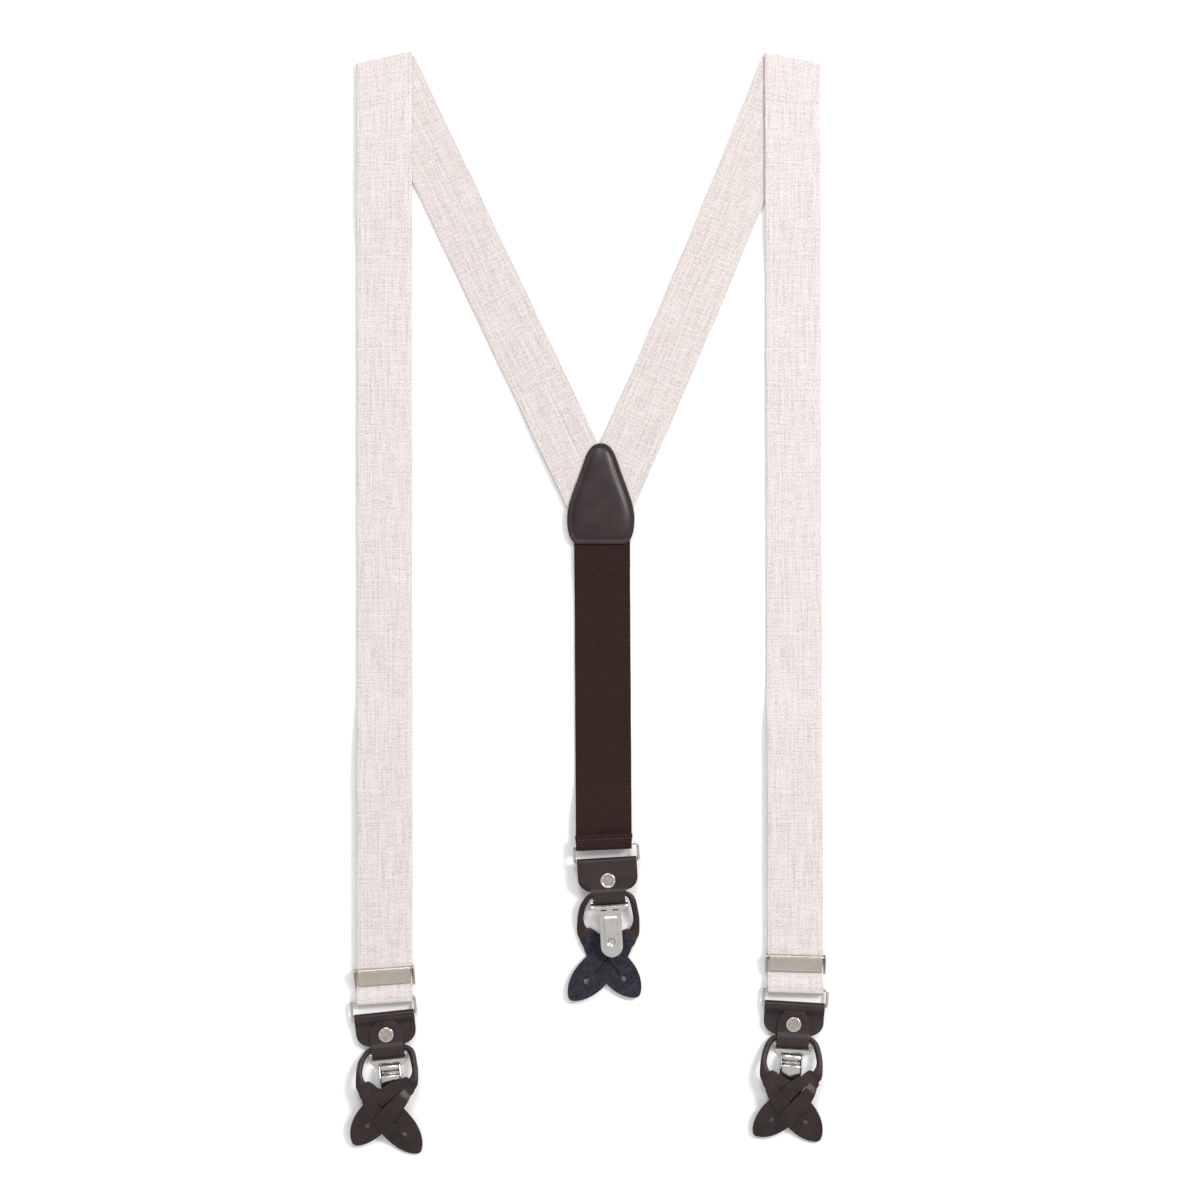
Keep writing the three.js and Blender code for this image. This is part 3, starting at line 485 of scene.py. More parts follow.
for index, name in enumerate(SIDES):
    side = RUNS[name]
    fold = fold_of(side)
    bottom, start = -side["drop"], -(FOLD_RADIUS + THICK / 2)
    clamp_start = bottom + side["rise"] - ADJUSTER_LENGTH / 2
    clamp_end = bottom + side["rise"] + ADJUSTER_LENGTH + TRAVEL
    overlap = -overlap_of(side)
    spine = starting((start - 1.2, LIE), (start - 0.2, LIE), 2)
    spine += arc((start, (LIE + OVER) / 2), FOLD_RADIUS, -90, 90, 10)
    spine += line((start, OVER), (overlap, OVER), 24) + ease((overlap, OVER), (overlap - 50, LIE), 12)
    spine += line((overlap - 50, LIE), (clamp_end + 60, LIE), 60)
    spine += ease((clamp_end + 60, LIE), (clamp_end, CLAMPED), 14)
    spine += line((clamp_end, CLAMPED), (clamp_start, CLAMPED), 34)
    ring_top = FRONT_RING_HEIGHT + WRAP
    spine += ease((clamp_start, CLAMPED), (bottom + WIRE, ring_top), 6)
    spine += line((bottom + WIRE, ring_top), (bottom, ring_top), 2)
    crease = -side["sign"] * math.tan(math.radians(side["angle"] / 2))
    slant = math.tan(math.radians(side["tilt"]))

    def lay(point, share):
        x, y, z = point
        at_top = smooth_between(y, -60, -20)
        at_bottom = 1 - smooth_between(y, bottom + 5, clamp_start + 2 * ADJUSTER_LENGTH)
        free = plateau(y, bottom, bottom + 60, -90, -40)
        dx, dz = wander(x, y, 3 * index)
        x_new = x + side["lean"] * (-y / side["drop"]) + free * dx
        return Vector((x_new, y + x * (crease * at_top + slant * at_bottom), z + free * abs(dz)))

    bm = strip_mesh(spine, half_strap, 14, lay, Matrix.Translation(fold))
    strap = new_object(f"{name}_front_strap_linen", bm, linen_face, None, [f"{name}_front_strap"])
    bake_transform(strap)
    thicken(strap, THICK, 0.45)
    print(name, "front strap, mm:", [round(v / MM, 1) for v in strap.dimensions])


# %% [markdown]
# The back straps show their inner side, where the sleeve's two edges meet in a seam a little off the
# middle. The seam is real relief: the cloth dips along it, and the rows of the grid carry the dip.

# %% Back straps
for index, name in enumerate(SIDES):
    side = RUNS[name]
    angle = math.radians(side["angle"])
    end = side["run"] - FOLD_RADIUS - THICK / 2 - 1.2 - GAP
    patch_end = PATCH_TOP / math.cos(angle) + 4
    spine = starting((-WIDTH, IN_PATCH), (patch_end, IN_PATCH), 10)
    spine += ease((patch_end, IN_PATCH), (patch_end + 45, LIE), 10) + line((patch_end + 45, LIE), (end, LIE), 44)
    crease = side["sign"] * math.tan(angle / 2)

    def lay(point, share):
        x, y, z = point
        along = y / side["run"]
        dip = bell(x, side["seam"], 0.55, 0.34) + bell(x, -2.3 * side["seam"], 0.5, 0.12)
        free = plateau(y, patch_end, patch_end + 60, end - 60, end - 20)
        dx, dz = wander(x, y, 7 + 3 * index)
        bowed = side["sign"] * 4 * side["bow"] * along * (1 - along)
        y_new = y + x * crease * smooth_between(y, end - 40, end - 1)
        return Vector((x + bowed + free * dx, y_new, z - dip + free * abs(dz)))

    place = Matrix.Translation(junction) @ Matrix.Rotation(-side["sign"] * angle, 4, "Z")
    bm = strip_mesh(spine, half_strap, 44, lay, place)
    for point, normal in [
        ((junction.x + side["sign"] * GAP / 2, 0, 0), (-side["sign"], 0, 0)),
        ((0, junction.y + GAP / 2, 0), (0, -1, 0)),
    ]:
        everything = bm.verts[:] + bm.edges[:] + bm.faces[:]
        bmesh.ops.bisect_plane(bm, geom=everything, plane_co=Vector(point) * MM, plane_no=normal, clear_outer=True)
    strap = new_object(f"{name}_back_strap_linen", bm, linen_inside, "straps", [f"{name}_back_strap"])
    thicken(strap, THICK, 0.45)
    print(name, "back strap faces:", len(strap.data.polygons))


# %% [markdown]
# ## Where each end is
#
# Each end hangs on its ring, so the ring's joint gives its place: the joint's point is the middle of
# the upper bar, and its axis runs across. The rear end is turned over, with its back to the viewer.

# %% The ends' own frames
LOWER_BAR, UPPER_BAR = 12.0, 22.4


def at_joint(name, flipped=False):
    """From a drawing in mm, with the joint's axis along -X, to the row frame. Flipped turns it over."""
    joint = next(j for j in frame["joints"] if j["name"] == name)
    way = -1 if flipped else 1
    across, up = -way * Vector(joint["axis"]), way * UP
    turn = Matrix((across, up.cross(across), up)).transposed().to_4x4()
    return Matrix.Translation(Vector(joint["pos_m"]) / MM) @ turn


# An end is drawn with its rivet at 0, 0 and +Y towards the ring.
to_rivet = Matrix.Translation((0, -UPPER_BAR, -FRONT_RING_HEIGHT))
PLACE = {end: at_joint(f"{end}_ring_swing", end == "rear") @ to_rivet for end in ENDS}
for end in ENDS:
    print(end, "rivet, mm:", [round(v, 1) for v in PLACE[end].translation])


# %% [markdown]
# ## Strap tails
#
# Below each adjuster the strap turns round the ring and comes back behind to the adjuster, where it is
# sewn. This piece bends round the ring and runs from there towards the adjuster.

# %% Tails
for name in SIDES:
    side = RUNS[name]
    fold = fold_of(side)
    bar = fold + Vector((side["lean"], -side["drop"], 0))
    spine = [Vector((0.3, FRONT_RING_HEIGHT + WRAP))] + arc((-0.6, FRONT_RING_HEIGHT), WRAP, 90, 270, 14)
    spine += line((-0.6, TAIL), (side["rise"] + 3, TAIL), 60)
    slant = math.tan(math.radians(side["tilt"]))
    bm = strip_mesh(spine, lambda p, s: WIDTH / 2 - 0.05, 12, lambda p, s: Vector((p.x, p.y + p.x * slant, p.z)),
                    Matrix.Translation(bar))
    tail = new_object(f"{name}_strap_tail_linen", bm, linen_face, None, [f"{name}_strap_tail"])
    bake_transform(tail)
    thicken(tail, THICK - 0.1, 0.4)
print("tails done")


# %% [markdown]
# ## Rear elastic
#
# The webbing runs from the crosspatch to the rear ring. Its end turns round the ring's bar towards
# the viewer and is sewn down, with a slightly frayed edge above a row of rust-brown stitches.

# %% Elastic and its fold
DROP, LEAN, SHIFT, ELASTIC_TILT, FLAP = 208.5, 1.2, 0.7, 2.6, 6.6
SEWING_Y = FLAP - DROP - 2.9


def lean_elastic(x, y, z):
    low = 1 - smooth_between(y, 30 - DROP, 60 - DROP)
    return Vector((x + SHIFT + LEAN * (-y / DROP), y + x * math.tan(math.radians(ELASTIC_TILT)) * low, z))


def lay_elastic(point, share):
    x, y, z = point
    selvedge = bell(abs(x), WIDTH / 2 - 1.1, 0.6, 0.18)
    dx, _ = wander(x, y, 21)
    free = smooth_between(y, -DROP + 15, -DROP + 60)
    return lean_elastic(x + 0.7 * free * dx, y, z + selvedge)


below_ring = REAR_RING_HEIGHT - WRAP
spine = starting((-DROP, below_ring), (12 - DROP, below_ring), 4)
spine += ease((12 - DROP, below_ring), (48 - DROP, LIE), 12) + line((48 - DROP, LIE), (PATCH_BOTTOM - 40, LIE), 30)
spine += ease((PATCH_BOTTOM - 40, LIE), (PATCH_BOTTOM - 2, IN_PATCH), 12)
spine += line((PATCH_BOTTOM - 2, IN_PATCH), (-0.2, IN_PATCH), 5)
bm = strip_mesh(spine, half_strap, 28, lay_elastic, Matrix.Translation(junction))
web = new_object("rear_elastic_web", bm, elastic_web, None, ["rear_elastic"])
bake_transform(web)
thicken(web, THICK, 0.4)

top = REAR_RING_HEIGHT + WRAP
spine = [Vector((-DROP + 0.2, below_ring))] + arc((-DROP - 0.35, REAR_RING_HEIGHT), WRAP, 270, 90, 16)
spine += line((-DROP - 0.35, top), (FLAP - DROP, top), 8)


def lay_flap(point, share):
    x, y, z = point
    frayed = smooth_between(y, FLAP - DROP - 0.9, FLAP - DROP) if z > REAR_RING_HEIGHT else 0
    ragged = 0.45 * noise.noise(Vector((x * 1.7, 4, 0))) * frayed
    sewn = -bell(y, SEWING_Y, 0.7, 0.35) if z > REAR_RING_HEIGHT else 0
    return lean_elastic(x * (1 + 0.03 * smooth_between(y, -DROP, FLAP - DROP)), y + ragged, z + sewn)


bm = strip_mesh(spine, half_strap, 60, lay_flap, Matrix.Translation(junction), uv_start=3)
flap = new_object("rear_elastic_flap", bm, elastic_web, "rear_elastic_end", ["rear_elastic_fold"])
thicken(flap, THICK, 0.35)

row = [junction + lean_elastic(x, SEWING_Y, top + THICK / 2 - 0.3) for x in (-WIDTH / 2 + 0.5, WIDTH / 2 - 0.5)]
seam = [(p, d, UP) for p, d in along_line(row, 2.5)]
stitches("rear_elastic_stitches", seam, "rear_elastic_end", thread_rust)
print("elastic done,", len(seam), "stitches")


# %% [markdown]
# ## Crosspatch
#
# Two leather teardrops hold the straps together. The upper one is padded by the straps below it, so it
# stands up inside its row of stitches and lies flat outside them. Rings that follow the outline are
# drawn one inside the other, each at its own height, and bridged. Insetting one face again and again
# would cross itself in the narrow top.

# %% Crosspatch leather
EDGE = [  # its right edge from the top down, as Bezier points in shares of half width and height
    (0, 0), (0.28, 0), (0.4, 0.08), (0.52, 0.205), (0.7, 0.39), (1, 0.6), (1, 0.74), (1, 0.92), (0.86, 1), (0.64, 1),
]
SQUARE_INSET = 3.2  # up to here a ring keeps the outline's shape


def patch_outline():
    height = PATCH_TOP - PATCH_BOTTOM
    edge = [Vector((x * PATCH_HALF, PATCH_TOP - y * height, 0)) for x, y in EDGE]
    right = [edge[0]]
    for i in range(0, 9, 3):
        right += bezier(*edge[i:i + 4], 14)
    foot = [right[-1].lerp(Vector((-right[-1].x, right[-1].y, 0)), i / 12) for i in range(1, 12)]
    left = [Vector((-p.x, p.y, 0)) for p in reversed(right[1:])]
    return right + foot + left


def inner_ring(points, inset):
    """The outline moved inwards, each point along the line to the patch's middle where the inset is deep."""
    middle = Vector((0, (PATCH_TOP + PATCH_BOTTOM) / 2 - 6, 0))
    moved = []
    for i, p in enumerate(points):
        tangent = points[(i + 1) % len(points)] - points[i - 1]
        square = p - UP.cross(tangent).normalized() * min(inset, SQUARE_INSET)
        moved.append(square.lerp(middle, max(0.0, inset - SQUARE_INSET) / (PATCH_HALF - SQUARE_INSET)))
    return moved


def leather_patch_piece(name, back, face, heights):
    """back and face are heights of the sheet. heights is a list of (inset from the edge, height above the face)."""
    bm = bmesh.new()
    outline = patch_outline()
    way = 1 if face > back else -1
    levels = [(outline, back), (outline, face)]
    levels += [(inner_ring(outline, inset), face + way * height) for inset, height in heights]
    loops = []
    for points, height in levels:
        verts = [bm.verts.new(junction + p + Vector((0, 0, height))) for p in points]
        loops.append([bm.edges.new((verts[i - 1], verts[i])) for i in range(len(verts))])
    bmesh.ops.holes_fill(bm, edges=loops[0], sides=len(outline))
    for near, far in zip(loops, loops[1:]):
        bmesh.ops.bridge_loops(bm, edges=near + far)
    centre = bm.verts.new(junction + inner_ring(outline, PATCH_HALF)[0] + Vector((0, 0, levels[-1][1])))
    for edge in loops[-1]:
        bm.faces.new((edge.verts[0], edge.verts[1], centre))
    in_frame(bm)
    round_edges(new_object(f"{name}_leather", bm, leather_patch, "straps", [name]), 0.35, 3)


inner_base = IN_PATCH + THICK / 2 + 0.2
puff = [(0.9, 0.02), (1.7, 0.0), (2.3, -0.15), (2.9, -0.22), (3.4, 0.05), (4.4, 0.55), (6, 1.0), (8.5, 1.35),
        (12, 1.6), (16, 1.7)]
leather_patch_piece("crosspatch_inner", inner_base, inner_base + 1.2, puff)
flat = [(0.9, 0.0), (1.8, 0.0), (2.4, -0.1), (2.9, -0.15), (3.4, 0.0), (8, 0.0), (14, 0.0)]
leather_patch_piece("crosspatch_outer", 1.2, 0.15, flat)

# %% Crosspatch stitches
inside = [junction + p for p in inner_ring(patch_outline(), 2.75)]
inside.append(inside[0])
for name, height in [("crosspatch_inner_stitches", inner_base + 1.2 - 0.14), ("crosspatch_outer_stitches", 0.2)]:
    seam = [(p + UP * height, d, UP) for p, d in along_line(inside, 2.6)]
    stitches(name, seam, "straps", thread_brown, 1.8, 0.5, 0.3)
print("crosspatch stitches:", len(seam))


# %% [markdown]
# ## Rings
#
# A ring is one length of round wire bent to a rectangle. A curve with a round bevel is the natural
# tool; it is made a mesh at once, so that its place is in its vertices.

# %% Wire rings
def rounded_rectangle(half, low, high, corner):
    points = []
    for x, y, first in [(half, low, -90), (half, high, 0), (-half, high, 90), (-half, low, 180)]:
        centre = (x - math.copysign(corner, x), y + (corner if y == low else -corner))
        points += arc(centre, corner, first, first + 90, 8)
    return points


def wire_piece(name, points, radius, place, metal, body, replaces, closed=True):
    curve = bpy.data.curves.new(name + "_path", "CURVE")
    curve.dimensions, curve.bevel_depth, curve.bevel_resolution = "3D", radius, 5
    spline = curve.splines.new("POLY")
    spline.points.add(len(points) - 1)
    for target, point in zip(spline.points, points):
        target.co = (*point, 1)
    spline.use_cyclic_u, curve.use_fill_caps = closed, True
    holder = bpy.data.objects.new(name + "_path", curve)
    bpy.context.scene.collection.objects.link(holder)
    bpy.context.view_layer.update()
    mesh = bpy.data.meshes.new_from_object(holder.evaluated_get(bpy.context.evaluated_depsgraph_get()))
    bpy.data.objects.remove(holder)
    bm = bmesh.new()
    bm.from_mesh(mesh)
    in_frame(bm, place)
    return new_object(name, bm, metal, body, replaces)


for end in ENDS:
    outline = rounded_rectangle(WIDTH / 2 + 1.7 + WIRE / 2, LOWER_BAR, UPPER_BAR, 1.3)
    points = [(p.x, p.y, FRONT_RING_HEIGHT) for p in outline]
    wire_piece(f"{end}_ring_wire", points, WIRE / 2, PLACE[end], nickel, f"{end}_ring", [f"{end}_ring"])
print("rings done")


# %% [markdown]
# ## Leather holders
#
# Each holder is one strip of leather. It starts as a wide flap with round corners, turns over the
# ring's lower bar, comes down behind, narrows to a neck, turns round the clip's bar and the loop's
# cord, and ends as a round tongue under the rivet. The grid's half width changes along the way.

# %% Holder leather
LEATHER = 1.2
BAR_Y, CORD_Y = -12.4, -8.8
HOLDER_WRAP = WIRE / 2 + 0.35 + LEATHER / 2
BACK_LAYER = FRONT_RING_HEIGHT - HOLDER_WRAP
WIDE_LAYER = BACK_LAYER + LEATHER + 0.4
TONGUE_LAYER = WIDE_LAYER + LEATHER + GAP
NECK_LAYER = 0.15 + LEATHER / 2
CORD_HEIGHT = NECK_LAYER + LEATHER / 2 + GAP + 1.6
OVER_CORD = CORD_HEIGHT + 1.6 + GAP + LEATHER / 2
HOLDER_HALF, NECK_HALF, FLAP_END = WIDTH / 2 + 1.3, 10.1, -6.6


def holder_rows():
    """(along, height, half width) from the flap's end to the tongue's tip."""
    rows = []
    for i in range(13):
        t = math.sin(math.pi / 2 * i / 12) ** 1.6
        y = FLAP_END + 8.6 * t
        rows.append((y, WIDE_LAYER, NECK_HALF + (HOLDER_HALF - NECK_HALF) * math.sqrt(max(0, 1 - (1 - t) ** 2))))
    top = FRONT_RING_HEIGHT + HOLDER_WRAP
    rise = line((2, WIDE_LAYER), (4.8, WIDE_LAYER), 3) + ease((4.8, WIDE_LAYER), (11.2, top), 8)
    turn = arc((LOWER_BAR, FRONT_RING_HEIGHT), HOLDER_WRAP, 90, -90, 12)
    rows += [(p.x, p.y, HOLDER_HALF) for p in rise + turn]
    back = line((LOWER_BAR, BACK_LAYER), (-5, BACK_LAYER), 22) + ease((-5, BACK_LAYER), (-7.6, NECK_LAYER), 5)
    for p in back + line((-7.6, NECK_LAYER), (BAR_Y + 0.1, NECK_LAYER), 5):
        t = min(1.0, max(0.0, (1.5 - p.x) / 9.5))
        rows.append((p.x, p.y, HOLDER_HALF + (NECK_HALF - HOLDER_HALF) * (0.5 * t + 0.5 * t * t * (3 - 2 * t))))
    radius = (OVER_CORD - NECK_LAYER) / 2
    turn = arc((BAR_Y + 0.1, NECK_LAYER + radius), radius, -90, -270, 14)[1:]
    over = line((BAR_Y + 0.1, OVER_CORD), (-9.2, OVER_CORD), 3) + ease((-9.2, OVER_CORD), (-4.2, TONGUE_LAYER), 7)
    rows += [(p.x, p.y, NECK_HALF) for p in turn + over + line((-4.2, TONGUE_LAYER), (0, TONGUE_LAYER), 4)]
    for i in range(1, 15):
        angle = math.pi / 2 * i / 14
        rows.append((NECK_HALF * math.sin(angle), TONGUE_LAYER, max(0.3, NECK_HALF * math.cos(angle))))
    return rows


def press_tongue(point, side):
    """The rivet pulls the tongue down a little, and its edges are turned down."""
    x, y, z = point
    if z > TONGUE_LAYER - 0.1 and y > -12:
        z -= 0.22 * math.exp(-((math.hypot(x, y) - 4.9) ** 2) / 1.5) + 0.12 * abs(side) ** 6
    return Vector((x, y, z))


HOLDER_ROWS = holder_rows()
spine = [Vector((y, z)) for y, z, _ in HOLDER_ROWS]
half_of = {id(point): half for point, (_, _, half) in zip(spine, HOLDER_ROWS)}
row = [Vector((x, 10.6, 5.72)) for x in (-HOLDER_HALF + 1.2, HOLDER_HALF - 1.2)]
for end in ENDS:
    bm = strip_mesh(spine, lambda p, s: half_of[id(p)], 22, press_tongue, PLACE[end])
    leather = new_object(f"{end}_holder_leather", bm, leather_smooth, f"{end}_holder", [f"{end}_holder"])
    thicken(leather, LEATHER, 0.3)
    turn = PLACE[end].to_3x3()
    seam = [(PLACE[end] @ p, turn @ d, turn @ Vector((0, -0.2, 1))) for p, d in along_line(row, 2.3)]
    stitches(f"{end}_holder_stitches", seam, f"{end}_holder", thread_rust, 1.5, 0.5, 0.35)
print("holders done,", len(HOLDER_ROWS), "rows")


# %% [markdown]
# ## Rivets
#
# A rivet is turned, so its profile is spun once round. The cap on the front is nearly flat with a
# bright rim; the head behind has a raised rim round a knurled middle.

# %% Rivet caps and posts
def turned(name, profile, place, metals, body, replaces, knurled):
    """profile is (radius, height) in mm. Faces inside knurled, a (radius, height), take the second metal."""
    bm = bmesh.new()
    verts = [bm.verts.new((r, 0, z)) for r, z in profile]
    edges = [bm.edges.new(pair) for pair in zip(verts, verts[1:])]
    bmesh.ops.spin(bm, geom=verts + edges, axis=UP, angle=2 * math.pi, steps=48, use_merge=True)
    bmesh.ops.remove_doubles(bm, verts=bm.verts[:], dist=1e-4)
    bmesh.ops.recalc_face_normals(bm, faces=bm.faces[:])
    for face in bm.faces:
        centre = face.calc_center_median()
        face.material_index = int(centre.xy.length < knurled[0] and abs(centre.z - knurled[1]) < 0.25)
    in_frame(bm, place, outwards=False)
    return new_object(name, bm, metals, body, replaces)


for end in ENDS:
    under = TONGUE_LAYER + LEATHER / 2 + 0.05
    cap = [(0, 0), (4.5, 0), (4.78, 0.15), (4.82, 0.4), (4.7, 0.62), (4.45, 0.78), (4.1, 0.84), (3.85, 0.8),
           (3.0, 0.92), (1.5, 1.0), (0, 1.02)]
    cap = [(r, under + z) for r, z in cap]
    turned(f"{end}_rivet_cap_turned", cap, PLACE[end], [nickel, nickel_knurled], f"{end}_holder",
           [f"{end}_rivet_cap"], (3.8, under + 0.9))
    over = BACK_LAYER - LEATHER / 2 - 0.05
    post = [(0, 0.3), (3.2, 0.3), (3.5, 0.22), (3.75, 0.02), (4.2, 0.0), (4.6, 0.08), (4.8, 0.3), (4.7, over),
            (1.7, over), (1.7, under + 0.1), (0, under + 0.1)]
    turned(f"{end}_rivet_post_turned", post, PLACE[end], [nickel, nickel_knurled], f"{end}_holder",
           [f"{end}_rivet_post"], (3.4, 0.3))
print("rivets done")


# %% [markdown]
# ## Button loops
#
# A loop is one strap of leather, rolled to a cord where it passes through the holder and opened flat
# at both ends. The cord is a tube whose section changes from round to a flat oval on its way down.

# %% Cord part of a loop
LOOP_HALF, LOOP_END = 17.6, -38.5
CORD_ROUTE = [(0, 0, 0), (0.3, 0, 0), (0.57, 0, 0), (0.75, 0.05, 0.03), (0.875, 0.175, 0.15), (0.965, 0.36, 0.4),
              (1, 0.54, 0.7), (0.93, 0.74, 0.92)]
TABS = {  # start and tip of both tabs, how far each bows, and how the loop hangs on its holder
    "left": dict(start=[(-13.7, -33.5), (14, -30.5)], tip=[(20.5, -75.2), (-20.6, -70.2)], bow=[0.4, 2.4], turn=-6.4,
                 droop=12, height=8.2, step=1.08, sheet=0.72, felt=0.3),
    "right": dict(start=[(-13.7, -33.5), (13.9, -32)], tip=[(20.6, -73), (-20.6, -71.5)], bow=[0.6, -1.2], turn=0,
                  droop=12, height=8.2, step=1.08, sheet=0.72, felt=0.3),
    "rear": dict(start=[(-13.5, -35), (13.5, -35)], tip=[(23.4, -75.6), (-19.6, -73)], bow=[0.5, 0.5], turn=4.4,
                 droop=0, height=6.6, step=0.84, sheet=0.56, felt=0.24),
}


def hang(bm, end):
    """Turns the loop on its holder. The stretch inside the leather fold stays straight."""
    crown = Vector((0, CORD_Y, 0))
    for vert in bm.verts:
        angle = math.radians(TABS[end]["turn"]) * smooth_between(-vert.co.y, -CORD_Y + 1, 17.5)
        vert.co = crown + Matrix.Rotation(angle, 3, "Z") @ (vert.co - crown)


def catmull(points, count):
    """A smooth line through points, count steps for each span."""
    padded = [points[0] * 2 - points[1]] + points + [points[-1] * 2 - points[-2]]
    found = [points[0]]
    for a, b, c, d in zip(padded, padded[1:], padded[2:], padded[3:]):
        for i in range(1, count + 1):
            t = i / count
            bend, twist = 2 * a - 5 * b + 4 * c - d, 3 * b - a - 3 * c + d
            found.append(0.5 * (2 * b + (c - a) * t + bend * t * t + twist * t**3))
    return found


def tab_length(end, index):
    return (Vector(TABS[end]["tip"][index]) - Vector(TABS[end]["start"][index])).length


def tab_line(end, index, share):
    """A point on a tab's middle line and the direction there. The line bows a little to one side."""
    start, tip = (Vector((*TABS[end][key][index], 0)) for key in ("start", "tip"))
    side = UP.cross(tip - start).normalized() * (1 if index == 0 else -1)
    control = (start + tip) / 2 + side * 2 * TABS[end]["bow"][index]
    place = start * (1 - share) ** 2 + control * 2 * share * (1 - share) + tip * share**2
    return place, ((control - start) * (1 - share) + (tip - control) * share).normalized()


def tab_base(end, index):
    """Height of a tab's leather where it leaves the cord; the second tab starts one layer higher."""
    return TABS[end]["height"] + TABS[end]["felt"] + 0.35 + TABS[end]["step"] * index


def cord_part(end, bm, index):
    """Half a cord, from the crown to the start of tab 0 (on the left) or tab 1 (on the right)."""
    way = -1 if index == 0 else 1
    top = tab_base(end, index)
    low = CORD_HEIGHT
    start, direction = tab_line(end, index, 0)
    reach, climb = start.y - 5 - CORD_Y, top + 0.9 - low
    route = [Vector((way * x * LOOP_HALF, CORD_Y + y * reach, low + z * climb)) for x, y, z in CORD_ROUTE]
    start.z = top
    route += [start, start + direction * 4.5]
    points = catmull(route, 7)
    total = len(points) - 1
    made = bmesh.ops.create_grid(bm, x_segments=20, y_segments=total, size=1)["verts"]
    rows = row_numbers(made)
    for vert in made:
        row = rows[round(vert.co.y, 5)]
        angle = math.pi * vert.co.x
        tangent = (points[min(row + 1, total)] - points[max(row - 1, 0)]).normalized()
        across = UP.cross(tangent).normalized()
        lift = tangent.cross(across)
        opened = smooth_between(row / total, 0.64, 0.98)
        thin = smooth_between(row / total, 0.6, 0.92)
        swell = smooth_between(row / total, 0.26, 0.45)
        wide = (3.15 + 0.75 * swell) * (1 - opened) + 12.4 * opened
        thick = (3.15 + 0.65 * swell) * (1 - thin) + 0.75 * TABS[end]["sheet"] * thin
        groove = 1 - bell(angle, way * 1.15, 0.22, 0.13) * (1 - opened)
        round_it = across * (math.sin(angle) * wide / 2) + lift * (math.cos(angle) * thick / 2)
        vert.co = points[row] + groove * round_it
    return made


# %% [markdown]
# Each tab is slit lengthwise as far as its buttonhole, and the two tabs are braided through each
# other's slits. So each tab is two half leaves. At the crossing the four halves lie one over another,
# in the order that the braid gives, and past the buttonhole a tab's halves are level again.

# %% Tabs and their felt
NECK, WIDE, HOLE_RADIUS = 3.8, 10.6, 1.45  # a tab's half widths, and its buttonhole


def leaf_rows(length):
    """(distance, half width) down a leaf: it widens from the neck and closes in a blunt point."""
    shape = [(0, NECK), (0.13, 0.8 * WIDE), (0.24, WIDE), (0.6, WIDE), (0.8, WIDE), (0.95, 0.56 * WIDE),
             (1, 0.09 * WIDE)]
    marks = [Vector((share * length, half)) for share, half in shape]
    return [marks[0]] + bezier(*marks[:4], 30) + bezier(*marks[3:], 22)


def half_leaf(end, bm, index, way, depth, inset=0.0):
    """Half a tab, left (way 1) or right (way -1) of its direction, depth below the leather's middle."""
    facts = TABS[end]
    length = tab_length(end, index)
    rows = [Vector((p.x, max(0.3, p.y - inset))) for p in leaf_rows(length)]
    made = bmesh.ops.create_grid(bm, x_segments=9, y_segments=len(rows) - 1, size=1)["verts"]
    order = row_numbers(made)
    raised = (way < 0) if index == 0 else (way > 0)
    hole, droop = 0.72 * length, math.radians(facts["droop"])
    for vert in made:
        along, half = rows[order[round(vert.co.y, 5)]]
        along = min(along, length - inset)
        slit = 0.14 * plateau(along, 0.11 * length, 0.15 * length, hole, hole + 0.5)
        slit = max(slit, math.sqrt(max(0.0, HOLE_RADIUS**2 - (along - hole) ** 2)))
        across = slit + (vert.co.x + 1) / 2 * max(0.1, half - slit)
        bridge = plateau(along, 0.06 * length, 0.17 * length, 0.56 * length, hole)
        lifted = 2 * facts["step"] * bridge if raised else 0.0
        curl = -0.5 * (across / 10.5) ** 4 * smooth_between(along, 0.4 * length, 0.8 * length)
        flat, direction = tab_line(end, index, along / length)
        flat += Vector((-direction.y, direction.x, 0)) * way * across
        height = tab_base(end, index) + lifted + curl - depth
        height -= facts["step"] * index * smooth_between(along, 0.8 * length, length) * 0.6
        run = min(0.0, flat.y - LOOP_END)
        flat.y += run * (math.cos(droop) - 1)
        height += run * math.sin(droop)
        vert.co = Vector((flat.x, flat.y, height))
    return made


for end in ENDS:
    facts = TABS[end]
    cord = bmesh.new()
    for index in (0, 1):
        cord_part(end, cord, index)
    bmesh.ops.remove_doubles(cord, verts=cord.verts[:], dist=0.02)
    bmesh.ops.holes_fill(cord, edges=[e for e in cord.edges if e.is_boundary], sides=40)
    hang(cord, end)
    in_frame(cord, PLACE[end])
    new_object(f"{end}_loop_cord", cord, leather_smooth, f"{end}_button_loop", [f"{end}_button_loop"])
    under = (facts["sheet"] + facts["felt"]) / 2
    for layer, depth, sheet, inset, finish, node, slot, rounding in [
        ("tabs", 0.0, facts["sheet"], 0.0, leather_smooth, "button_loop", "leather", 0.16),
        ("felt_lining", under, facts["felt"], 0.12, felt, "tab_felt", "felt", 0.08),
    ]:
        bm = bmesh.new()
        for index in (0, 1):
            for way in (1, -1):
                half_leaf(end, bm, index, way, depth, inset)
        hang(bm, end)
        in_frame(bm, PLACE[end])
        piece = new_object(f"{end}_loop_{layer}", bm, finish, f"{end}_button_loop", [f"{end}_{node}"])
        thicken(piece, sheet, rounding)
print("button loops done")


# %% [markdown]
# ## Clips
#
# The clip's back plate is pressed from sheet: a neck with a slot for the leather, and a body with a
# raised channel and a dimple that stiffen it. Its ears are cut from the same sheet and bent up. The
# jaw and lever keep their exact shape: a merged copy of each gets its edges rounded and polished.

